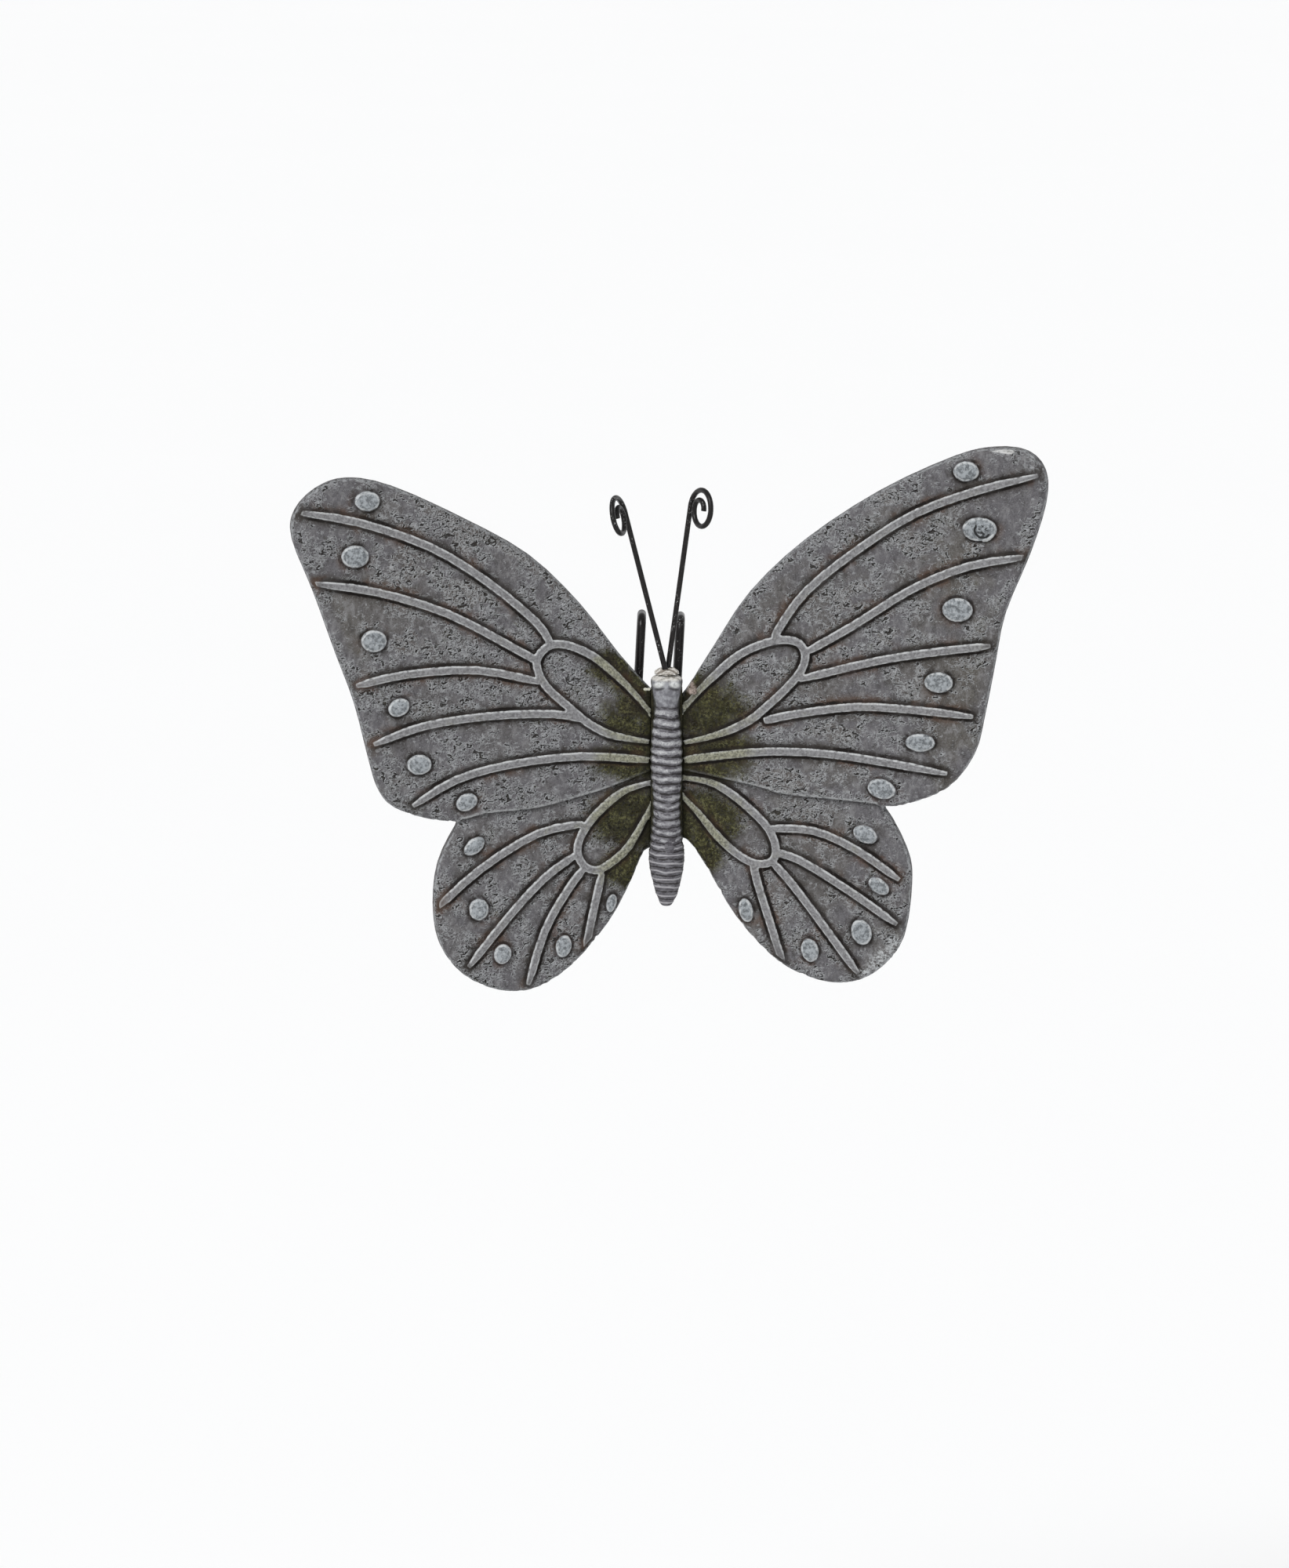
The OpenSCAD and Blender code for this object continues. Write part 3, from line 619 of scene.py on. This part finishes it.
def wallPoints(mesh):
    # points along the upper edges of walls on the solid's face, sorted by what the wall belongs to
    found = {"vein": [], "spot": [], "rim": [], "lip": []}
    hind, fore = wing["thick"], wing["thick"] + wing["lip"]
    kinds = {}
    for face in (hind, fore):
        kinds[round(face, 1)] = "rim"
        kinds[round(face + wing["veinSteps"][0], 1)] = "vein"
        kinds[round(face + wing["spotSteps"][0], 1)] = "spot"
    for edge in mesh.edges:
        a, b = (v.co for v in edge.verts)
        if abs(a.z - b.z) > 0.02 or a.z < hind - 0.1 or max(a.x, b.x) < 7.4:
            continue
        kind = kinds.get(round(a.z, 1))
        walls = [f for f in edge.link_faces if abs(f.normal.z) < 0.3]
        if not kind or not walls:
            continue
        foot = min(v.co.z for f in walls for v in f.verts)
        if foot > a.z - 0.2:
            continue
        if kind == "rim" and foot > hind - 0.3:
            kind = "lip"
        steps = max(1, int((a - b).length / 0.15))
        for k in range(steps):
            p = a.lerp(b, k / steps)
            found[kind].append((p.x, p.y, round(a.z, 1)))
    return found


def treeOf(samples):
    tree = KDTree(len(samples))
    for k, p in enumerate(samples):
        tree.insert((p[0], p[1], 0), k)
    tree.balance()
    return tree


def nearest(tree, co):
    # how far the nearest sample is, where it is and which it is
    found = [tree.find((p[0], p[1], 0)) for p in co]
    far, place, key = (np.array([f[k] for f in found]) for k in (2, 0, 1))
    return far, place[:, :2], key


bareMarks = {"deep": 0, "mark": 0, "chip": 0, "facet": -2, "smear": 0}


def rightMarks(f, rimFar):
    dx, dy = f[:, 0] - curl["centre"][0], f[:, 1] - curl["centre"][1]
    turn = np.mod(np.arctan2(dy, dx) - curl["from"], 2 * math.pi) + curl["from"]
    away = np.hypot(dx, dy)
    scratch = 1 - ease(np.abs(away - curl["radius"]), curl["width"] * 0.5, curl["width"] * 1.6)
    scratch = scratch * (turn < curl["to"])
    tail = 1 - ease(np.abs(away - curl["tailRadius"]), 0.25, 0.60)
    tail = tail * (turn > curl["tailFrom"]) * (turn < curl["tailTo"])
    inside = 1 - ease(away, curl["radius"] * 0.6, curl["radius"])
    lines = 1 - ease(np.abs(grain(f * np.array([0.6, 1.5, 1]), 1.6, 2.3)), 0.03, 0.22)
    mark = np.maximum(scratch, 0.6 * inside * lines) - tail * (1 - scratch)
    deep = curl["depth"] * scratch - 0.12 * tail

    (u0, v0), (u1, v1) = facet["from"], facet["to"]
    along = (f[:, 0] - u0) / (u1 - u0)
    line = v0 + (v1 - v0) * along + facet["bow"] * np.sin(np.clip(along, 0, 1) * math.pi)
    ends = ease(along, 0, 0.15) * (1 - ease(along, 0.7, 1))
    facetOver = -2 + ends * np.clip(f[:, 1] - line + 2, 0, 4) * ease(f[:, 2], 5.4, 6.9)
    deep = deep + facet["depth"] * np.maximum(0, facetOver)

    chip = np.zeros(len(f))
    for across, up, reach, strong in chips:
        patch = 1 - ease(np.hypot(f[:, 0] - across, f[:, 1] - up), reach * 0.4, reach)
        chip = np.maximum(chip, strong * patch * (1 - 0.7 * ease(rimFar, 2.0, 5.0)))
    deep = deep + 0.30 * chip * np.abs(grain(f, 1.8, 3.7))

    away = np.hypot(f[:, 0] - smear["centre"][0], f[:, 1] - smear["centre"][1])
    smeared = 1 - ease(away + 0.9 * grain(f, 2.0, 2.9), smear["reach"] * 0.5, smear["reach"])
    return {"deep": deep, "mark": mark, "chip": chip, "facet": facetOver, "smear": smeared}


def thinOut(piece, plain):
    # the plain back needs few faces
    pick(piece)
    mask = np.zeros(len(piece.data.polygons), dtype=bool)
    for polygon in piece.data.polygons:
        mask[polygon.index] = all(plain[v] for v in polygon.vertices)
    bpy.ops.object.mode_set(mode="EDIT")
    bpy.ops.mesh.select_mode(type="FACE")
    bpy.ops.mesh.select_all(action="DESELECT")
    bpy.ops.object.mode_set(mode="OBJECT")
    piece.data.polygons.foreach_set("select", mask)
    bpy.ops.object.mode_set(mode="EDIT")
    bpy.ops.mesh.decimate(ratio=wing["backShare"])
    bpy.ops.object.mode_set(mode="OBJECT")


def carveWing(nodeName, name, side):
    piece = castFrom(nodeName, name)
    setPoints(piece, toWing(points(piece), side))
    solid = bmesh.new()
    solid.from_mesh(piece.data)
    solid.normal_update()
    form = BVHTree.FromBMesh(solid)
    walls = wallPoints(solid)
    solid.free()
    print(name, {kind: len(found) for kind, found in walls.items()})

    # a plain plate of even thickness first, then the relief on a fine mesh of it
    co = points(piece)
    co[:, 2] = np.minimum(co[:, 2], wing["thick"])
    setPoints(piece, co)
    applyModifier(piece, "REMESH", mode="VOXEL", voxel_size=wing["voxel"])
    co = points(piece)
    rimTree = treeOf(walls["rim"])
    rimFar, _, rimKey = nearest(rimTree, co)
    rimFar[co[:, 0] < 6.4] = 9
    co = relaxed(co, edgeEnds(piece), 7, (1 - ease(rimFar, 1.0, 2.0)) * 0.9)

    front = np.where(co[:, 2] > 2.5)[0]
    f = co[front]
    down = Vector((0, 0, -1))
    level = np.array([(form.ray_cast(Vector((p[0], p[1], 30)), down)[0] or Vector((0, 0, 0))).z for p in f])
    (veinFoot, veinTop), (spotFoot, spotTop) = wing["veinSteps"], wing["spotSteps"]
    outside = level < wing["thick"] - 0.1
    hindLevels = [wing["thick"] + step for step in (0, veinFoot, spotFoot, veinTop, spotTop)]
    isHind = np.min([np.abs(level - h) for h in hindLevels], axis=0) < 0.045
    rimLevel = np.array([s[2] for s in walls["rim"]])[rimKey[front]]
    isHind = np.where(outside, rimLevel < wing["thick"] + 0.4, isHind)
    above = level - np.where(isHind, wing["thick"], wing["thick"] + wing["lip"])
    onVein = (np.abs(above - veinFoot) < 0.06) | (np.abs(above - veinTop) < 0.045)
    onSpot = (np.abs(above - spotFoot) < 0.06) | (np.abs(above - spotTop) < 0.045)

    veinFar, veinAt, _ = nearest(treeOf(walls["vein"]), f)
    spotFar, _, _ = nearest(treeOf(walls["spot"]), f)
    lipFar, _, _ = nearest(treeOf(walls["lip"]), f)
    vein = np.where(onVein, veinFar, -veinFar)
    spot = np.where(onSpot, spotFar, -spotFar)
    lip = np.where(isHind, -lipFar, lipFar)
    over = ease((f[:, 1] - veinAt[:, 1]) / np.maximum(veinFar, 0.05), -0.6, 0.6)
    # painted shadow and dark wash beside a vein: one strength under it, one over it
    lowerSide, upperSide = wing["lined"][side]
    shade = lowerSide + (upperSide - lowerSide) * over + 0.8 * grain(f, 8.0, 6.1)

    # relief: flat ribbons with raised edges, low domed spots, the forewing's step
    wobble = grain(f, 5.0, 3.1) * 0.10
    ribbon = ease(vein + wobble, 0.0, 0.88) - 0.20 * ease(vein, 0.95, 1.45)
    spot = spot - 0.28 * np.abs(grain(f, 2.4, 7.1))
    dome = 0.80 * ease(spot + wobble, -0.12, 0.85) + 0.20 * ease(spot, 0.7, 2.3)
    whole = ease(rimFar[front], 1.4, 4.6)    # veins sink into the stone towards the rim
    relief = np.maximum(ribbon * wing["veinHigh"] * (0.30 + 0.70 * whole), dome * wing["spotHigh"])
    trench = ease(vein, -1.1, -0.4) * (1 - ease(vein, -0.4, 0))
    trench = trench + ease(spot, -1.0, -0.4) * (1 - ease(spot, -0.4, 0))
    patch = ease(grain(f, 9.0, 7.7), -0.15, 0.35)
    wrinkle = np.abs(grain(f, 1.3, 1.3)) + 0.5 * np.abs(grain(f, 0.8, 5.3))
    swell = grain(f, 17.0, 9.2) * 0.12
    flatShare = (1 - ease(vein, -0.3, 0.3)) * (1 - ease(spot, -0.3, 0.3))
    drop = wing["rough"] * wrinkle * (0.35 + 0.65 * patch) * (0.25 + 0.75 * flatShare)
    drop = drop + wing["trench"] * trench + np.abs(swell) * flatShare
    marks = rightMarks(f, rimFar[front]) if side > 0 else bareMarks
    drop = drop + marks["deep"]
    height = wing["lip"] * ease(lip, -0.28, 0.30) + relief - drop
    rise = ease(f[:, 2], 2.6, 6.9)
    f[:, 2] = f[:, 2] + height * rise
    # a knobbly rim: the outline only ever draws in
    nib = np.maximum(0, grain(f, 2.0, 4.4)) * wing["nibs"] * (1 - ease(rimFar[front], 0.9, 1.6))
    inward = np.array([s[:2] for s in walls["rim"]])[rimKey[front]] - f[:, :2]
    length = np.maximum(np.hypot(inward[:, 0], inward[:, 1]), 0.2)
    f[:, :2] += inward / length[:, None] * (nib * outside)[:, None]
    co[front] = f
    back = co[:, 2] < 0.8
    co[back, 2] += 0.14 * np.abs(grain(co[back], 6.0, 2.2))

    def spread(values, plain):
        whole = np.full(len(co), plain, dtype=float)
        whole[front] = values
        return whole

    paint(piece, "vein", spread(np.clip(vein, -6, 3), -6))
    paint(piece, "spot", spread(np.clip(spot, -6, 5), -6))
    paint(piece, "lip", spread(np.clip(lip, -6, 6), 6))
    outer = np.where(outside, rimFar[front], 0)
    paint(piece, "edge", spread(ease(outer, 0.30, 0.70) * ease(f[:, 2], 4.6, 6.0), 0))
    paint(piece, "shade", spread(shade * (0.35 + 0.65 * whole), 0))
    paint(piece, "whole", spread(0.40 + 0.60 * whole, 0))
    for key in ("mark", "chip", "facet", "smear"):
        paint(piece, key, spread(marks[key], bareMarks[key]))
    nicked = 0.5 * (1 - ease(rimFar[front], 1.5, 4.5)) * ease(f[:, 1], 10, 40)
    bedded = np.zeros(len(f))
    for across, up, halfWide, halfHigh in wing["beds"][side]:
        far = np.hypot((f[:, 0] - across) / halfWide, (f[:, 1] - up) / halfHigh) + 0.4 * grain(f, 4.0, 1.9)
        bedded = np.maximum(bedded, 1 - ease(far, 0.45, 1.25))
    pitted = wing["pitted"][side] - 0.5 * ease(f[:, 0], 70, 108) + nicked
    paint(piece, "pitted", spread(np.maximum(pitted, 1.45 * bedded), 0))
    mossy = np.zeros(len(co))
    for across, up, halfWide, halfHigh in wing["moss"][side]:
        far = np.hypot((co[:, 0] - across) / halfWide, (co[:, 1] - up) / halfHigh)
        mossy = np.maximum(mossy, 1 - ease(far, 0.45, 1.35))
    paint(piece, "moss", mossy * ease(co[:, 2], 2, 7))
    # painted shade and dark wash in the gap beside the body
    rootShadeAndWash = (1 - ease(co[:, 0] + 1.2 * grain(co, 4.0, 3.6), 5.6, 9.0)) * ease(co[:, 2], 5, 7)
    paint(piece, "rootShadeAndWash", rootShadeAndWash)
    setPoints(piece, co)

    thinOut(piece, co[:, 2] < 0.7)
    setPoints(piece, fromWing(points(piece), side))
    outward(piece)
    fitInside(piece, nodeName)
    bpy.ops.object.shade_smooth()
    placed(piece, nodeName, wingMaterial)


carveWing("left_wing", "leftWing", -1)
carveWing("right_wing", "rightWing", 1)
print("wings carved")


# body

body = {
    "voxel": 0.24,
    "neck": 25.4,           # over the datum
    "long": 65,
    "rings": 23,
    "tip": -39.6,
    "eyes": (2.45, 32.9),
    "lid": (2.0, 1.3),      # half width and half height
    "shoulder": (1.9, 1.5),     # how far the crown's shoulders are rounded, down and inwards
    "smear": (0.9, -17.6, 1.5, 3.4),    # plain stone over two rings: place, half width and half height
    "waver": 0.45,          # how far the rings stray
    "sag": 1.0,             # how far the middle rings hang in front
    "bow": 1.7,             # how far rings are pushed down a third of the way
}


def carveBody():
    piece = castFrom("body", "ringedBody")
    shift = np.array([casting["shift"], 0, -casting["datum"]])
    setPoints(piece, points(piece) / mm - shift)
    applyModifier(piece, "REMESH", mode="VOXEL", voxel_size=body["voxel"])
    co = points(piece)
    shown = (co[:, 1] < -casting["bodyAxis"] + 1.0) | (co[:, 2] > 31) | (co[:, 2] < -25)
    shownShare = np.where(shown, 1.0, 0.0)
    co = relaxed(co, edgeEnds(piece), 2, shownShare * 0.6)
    ringed = 1 - ease(co[:, 2], body["neck"] - 0.1, body["neck"] + 0.5)
    radial = co[:, :2] - np.array([0, -casting["bodyAxis"]])
    radius = np.maximum(np.hypot(radial[:, 0], radial[:, 1]), 0.3)
    # rings sag to the right and stray, and each swells and shrinks along its way round
    phase = (body["neck"] - co[:, 2]) / (body["long"] / body["rings"]) * 2 * math.pi
    stray = body["waver"] * grain(co * np.array([1, 1, 1.6]), 4.5, 1.0) - 0.045 * co[:, 0]
    hang = ease(co[:, 2], -24, -14) * (1 - ease(co[:, 2], -2, 6))
    hang = hang * (1 - np.clip(co[:, 0] / 5.2, -1, 1) ** 2)
    along = np.clip((body["neck"] - co[:, 2]) / body["long"], 0, 1)
    stray = stray * ease(co[:, 2], body["tip"] + 0.2, body["tip"] + 3.6)
    stray = stray - body["sag"] * hang - body["bow"] * np.sin(math.pi * along ** 0.6)
    across, up, halfWide, halfHigh = body["smear"]
    plain = 1 - ease(np.hypot((co[:, 0] - across) / halfWide, (co[:, 2] - up) / halfHigh), 0.5, 1.2)
    ringLow = np.cos(phase) * (1 - 0.8 * plain)
    cut = 0.10 * np.abs(grain(co, 1.6, 2.0)) + 0.10 * np.abs(grain(co, 0.9, 6.0))
    cut = cut * (0.4 + 0.6 * ringed)
    cut = cut + 0.30 * ringed * np.maximum(0, grain(co * np.array([1, 1, 1.5]), 3.4, 8.0))
    filled = 0.16 + 0.34 * plain + 0.22 * (1 - ease(co[:, 2], -26, -18))
    cut = cut - ringed * np.maximum(0, np.cos(phase)) * filled
    # the tail's end is rounded
    t = np.clip((body["tip"] + 1.7 - co[:, 2]) / 1.8, 0, 1)
    cut = cut + radius * (1 - np.sqrt(1 - t * t * 0.92))
    down, inwards = body["shoulder"]
    cut = cut + inwards * np.clip((co[:, 2] - casting["headTop"] + down) / down, 0, 1) ** 2
    # two heavy lids over the face
    front = co[:, 1] < -casting["bodyAxis"]
    side = np.abs(co[:, 0]) - body["eyes"][0]
    droop = co[:, 2] - body["eyes"][1] + 0.22 * side
    lid = (1 - ease(np.hypot(side / body["lid"][0], droop / body["lid"][1]), 0.45, 1.15)) * front
    under = (1 - ease(np.hypot(side / 2.2, (droop + 1.55) / 0.6), 0.4, 1.1)) * front
    nose = (1 - ease(np.hypot(co[:, 0] / 0.8, (co[:, 2] - 31.4) / 1.6), 0.4, 1.2)) * front
    cut = cut - 0.55 * lid + 0.35 * under - 0.25 * nose
    co[:, :2] -= radial / radius[:, None] * (cut * shownShare)[:, None]
    co[:, 2] += stray * shownShare * ringed
    paint(piece, "groove", ringLow * ringed - (1 - ringed) * 0.2)
    broad = -0.34 + 0.44 * ease(co[:, 2], -25, -12) + 0.22 * ease(co[:, 2], -4, 12)
    paint(piece, "broad", np.where(ringed > 0.5, broad, 0.25))
    # painted shade under the lids, over the hollow carved there
    paint(piece, "under", under)
    paint(piece, "face", 1 - ringed)
    # painted shade at the body's sides, weaker on the tail
    flank = ease(np.abs(radial[:, 0]) / radius, 0.82, 1.0)
    paint(piece, "flank", flank * (0.55 + 0.45 * ease(co[:, 2], -25, -18)))
    paint(piece, "pale", ease(co[:, 2], 33.6, 34.6))
    paint(piece, "lid", lid)
    # dark grime and painted shade behind the body's sides, where the wings meet it
    behind = ease(co[:, 1], -casting["bodyAxis"] - 0.8, -casting["bodyAxis"] + 0.6)
    paint(piece, "jointGrimeAndShade", behind * (1 - ease(co[:, 2], 28, 31)) * ease(np.abs(co[:, 0]), 3, 4))
    setPoints(piece, (co + shift) * mm)
    fitInside(piece, "body")
    pick(piece)
    bpy.ops.object.shade_smooth()
    placed(piece, "body", bodyMaterial)


carveBody()
print("body carved")


# small stone and putty pieces

def carveSmall(nodeName, name, material, voxel, cut, size, folds=0.0):
    piece = castFrom(nodeName, name)
    setPoints(piece, points(piece) / mm)
    applyModifier(piece, "REMESH", mode="VOXEL", voxel_size=voxel)
    co = points(piece)
    normals = np.empty(len(co) * 3)
    piece.data.vertices.foreach_get("normal", normals)
    depth = cut * (np.abs(grain(co, size, 1.9)) + 0.5 * np.abs(grain(co, size * 0.5, 4.9)))
    if folds:
        co = relaxed(co, edgeEnds(piece), 8, np.full(len(co), 0.8))
        # soft folds in rings round a place under the crown
        middle = np.array([casting["shift"], -casting["bodyAxis"] - 2.5,
                           casting["headTop"] - casting["datum"] - 2.0])
        wave = 0.5 + 0.5 * np.sin(np.linalg.norm(co - middle, axis=1) * 5.0 + 2.2 * grain(co, 2.6, 3.3))
        depth = depth + folds * wave
        paint(piece, "fold", wave)
    co = co - normals.reshape(-1, 3) * depth[:, None]
    setPoints(piece, co * mm)
    fitInside(piece, nodeName)
    pick(piece)
    bpy.ops.object.shade_smooth()
    placed(piece, nodeName, material)


# voxel, depth and size of the roughness, in mm, and depth of the folds
carveSmall("back_pad", "backPad", padMaterial, 0.42, 0.35, 3.5)
carveSmall("antenna_putty", "puttyCrown", puttyMaterial, 0.13, 0.28, 1.4, 0.35)
carveSmall("left_glue_bead", "glueString", glueMaterial, 0.07, 0.22, 0.7)
carveSmall("right_filler_lump", "fillerLump", fillerMaterial, 0.11, 0.45, 1.1)
print("pad, putty, glue and filler carved")


# wires

wire = {
    "antenna": 0.85,    # radius
    "hook": 1.4,        # radius
    "knee": 1.0,        # centre of an antenna's knee over the head
    "tang": 7.8,        # from the knee down to the tang's foot
    "stagger": 1.05,    # each tang's distance in front of the body's axis, or behind it
    "apart": 0.3,       # each tang's distance from the centre line
    "curl": (6.2, 5.0, 2.9),    # radii of an antenna's three half turns
    "nose": 0.15,       # length of a wire's rounded end
    "sides": 20,
    "bendStep": math.radians(7.5),
}


def startWire(name, radius, place):
    deselectAll()
    bpy.ops.mesh.primitive_circle_add(vertices=wire["sides"], radius=radius * 0.8 * mm, fill_type="NGON",
                                      location=Vector(place) * mm)
    piece = bpy.context.object
    piece.name = name
    bpy.ops.object.transform_apply(location=True, rotation=True, scale=True)
    bpy.ops.object.mode_set(mode="EDIT")
    bpy.ops.mesh.select_all(action="SELECT")
    return piece


def pull(x, y, z, steps=1):
    for _ in range(steps):
        bpy.ops.mesh.extrude_region_move(
            TRANSFORM_OT_translate={"value": (x * mm / steps, y * mm / steps, z * mm / steps)})


def widen(share):
    bpy.ops.transform.resize(value=(share, share, share))


def bend(centre, axis, angle):
    steps = max(2, round(abs(angle) / wire["bendStep"]))
    bpy.ops.mesh.spin(steps=steps, angle=-angle, center=Vector(centre) * mm, axis=axis)


def endWire(piece):
    bpy.ops.mesh.select_all(action="SELECT")
    bpy.ops.mesh.remove_doubles(threshold=0.002 * mm)
    bpy.ops.mesh.normals_make_consistent(inside=False)
    bpy.ops.object.mode_set(mode="OBJECT")
    bpy.ops.object.shade_smooth_by_angle(angle=math.radians(35))


antennae = {
    "leftAntenna": {"node": "left_antenna", "side": -1, "stem": 52.4, "lean": 14.2, "turn": 73},
    "rightAntenna": {"node": "right_antenna", "side": 1, "stem": 53.2, "lean": 7.8, "turn": 60},
}

for name, plan in antennae.items():
    # built upright with its curl in the XZ plane, then leaned and turned into place
    lean = Matrix.Rotation(math.radians(plan["lean"]), 4, "Y")
    turned = lean @ Matrix.Rotation(math.radians(-plan["turn"]), 4, "Z")
    tang = turned.inverted() @ Vector((0, 0, -wire["tang"]))
    length = plan["stem"]
    piece = startWire(name, wire["antenna"], tang)
    pull(0, 0, wire["nose"])
    widen(1.25)
    pull(*(-tang - Vector((0, 0, wire["nose"]))), 3)
    pull(0, 0, length, 24)
    outer, middle, inner = wire["curl"]
    for centre in (outer, 2 * outer - middle, 2 * outer - 2 * middle + inner):
        bend((centre, 0, length), (0, 1, 0), math.pi)
    pull(0, 0, -0.02)
    widen(0.8)
    endWire(piece)
    knee = Vector((wire["apart"], plan["side"] * wire["stagger"] - casting["bodyAxis"],
                   casting["headTop"] + wire["knee"]))
    piece.data.transform(Matrix.Translation(knee * mm) @ turned)
    if plan["side"] < 0:
        piece.data.transform(Matrix.Scale(-1, 4, (1, 0, 0)))
    piece.data.transform(Matrix.Translation(Vector((casting["shift"], 0, -casting["datum"])) * mm))
    outward(piece)
    placed(piece, plan["node"], wireMaterial)

# one wire: up a leg, over the rim, down, round, and back the same way
hook = {
    "leg": 6.2,         # each leg's distance from the middle
    "back": -2.0,       # depth of the legs in the pad
    "bend": 4.0,        # radius over the rim
    "foot": -56.0,      # the legs' ends in the pad
    "rise": 53.2,
    "over": 5.4,        # straight length over the rim
    "drop": 30.0,
    "nose": 0.2,
    "lean": 3,          # degrees
}
leg, topZ = hook["leg"], hook["foot"] + hook["nose"] + hook["rise"]
nearY = hook["back"] + hook["bend"]
farY = nearY + hook["over"]
piece = startWire("rimHook", wire["hook"], (-leg, hook["back"], hook["foot"]))
pull(0, 0, hook["nose"])
widen(1.25)
pull(0, 0, hook["rise"], 12)
bend((-leg, nearY, topZ), (-1, 0, 0), math.pi / 2)
pull(0, hook["over"], 0, 3)
bend((-leg, farY, topZ), (-1, 0, 0), math.pi / 2)
pull(0, 0, -hook["drop"], 8)
bend((0, farY + hook["bend"], topZ - hook["drop"]), (0, -1, 0), math.pi)
pull(0, 0, hook["drop"], 8)
bend((leg, farY, topZ), (1, 0, 0), math.pi / 2)
pull(0, -hook["over"], 0, 3)
bend((leg, nearY, topZ), (1, 0, 0), math.pi / 2)
pull(0, 0, -hook["rise"], 12)
pull(0, 0, -hook["nose"])
widen(0.8)
endWire(piece)
piece.data.transform(Matrix.Rotation(math.radians(hook["lean"]), 4, "Y"))
placed(piece, "rim_hook", wireMaterial)
print("wires bent")

# the tie pins are hidden and the mortar shows as a dark line: both keep their solids
for nodeName, material in (("upper_tie_pin", rodMaterial), ("lower_tie_pin", rodMaterial),
                           ("left_joint_mortar", mortarMaterial), ("right_joint_mortar", mortarMaterial)):
    nodes[nodeName].material_slots[0].material = material


# studio: pale floor, soft light from the upper left, camera on the photograph's line of sight

studio = {
    "floor": -0.5,
    "floorSize": 60,
    "paperDark": (0.983, 0.983, 0.983),
    "paperPale": (0.990, 0.990, 0.990),
    "skyColour": (0.985, 0.992, 1.0),
    "horizon": 0.97,                # brightness low in the sky
    "sky": 0.42,                    # and overhead
    "fade": (0.22, 0.60),           # where one turns into the other
    "sun": 2.05,
    "sunWidth": math.radians(28),
    "sunTurn": (math.radians(42), 0, math.radians(-32)),
    "lens": 129.6,
    "eye": (-0.00525, -1.77933, 0.29346),
    "above": math.radians(11),      # the camera looks down
}

deselectAll()
bpy.ops.mesh.primitive_plane_add(size=studio["floorSize"], location=(0, 0, studio["floor"]))
floor = bpy.context.object
floor.name = "paleFloor"
bpy.ops.object.transform_apply(location=True, rotation=True, scale=True)
paper = Shader("palePaper")
paperColour = paper.mix(paper.cloud(400, 2), studio["paperDark"], studio["paperPale"])
floor.data.materials.append(paper.finish(paperColour, 0.9))

world = bpy.data.worlds.new("studioSky")
world.use_nodes = True
sky = world.node_tree
background = sky.nodes["Background"]
background.inputs["Color"].default_value = (*studio["skyColour"], 1)
direction = sky.nodes.new("ShaderNodeTexCoord")
height = sky.nodes.new("ShaderNodeSeparateXYZ")
fade = sky.nodes.new("ShaderNodeMapRange")
for key, value in zip(("From Min", "From Max", "To Min", "To Max"),
                      (*studio["fade"], studio["horizon"], studio["sky"])):
    fade.inputs[key].default_value = value
sky.links.new(direction.outputs["Generated"], height.inputs[0])
sky.links.new(height.outputs["Z"], fade.inputs["Value"])
sky.links.new(fade.outputs[0], background.inputs["Strength"])
bpy.context.scene.world = world

sun = bpy.data.objects.new("softKey", bpy.data.lights.new("softKey", "SUN"))
sun.data.energy = studio["sun"]
sun.data.angle = studio["sunWidth"]
sun.rotation_euler = studio["sunTurn"]
bpy.context.scene.collection.objects.link(sun)

camera = bpy.data.objects.new("camera", bpy.data.cameras.new("camera"))
camera.data.lens = studio["lens"]
camera.data.sensor_width = 36
camera.location = studio["eye"]
camera.rotation_euler = (math.radians(90) - studio["above"], 0, 0)
camera.data.clip_start = 0.1
camera.data.clip_end = 100
bpy.context.scene.collection.objects.link(camera)
bpy.context.scene.camera = camera
bpy.context.scene.view_settings.view_transform = "Standard"
print("studio lit")
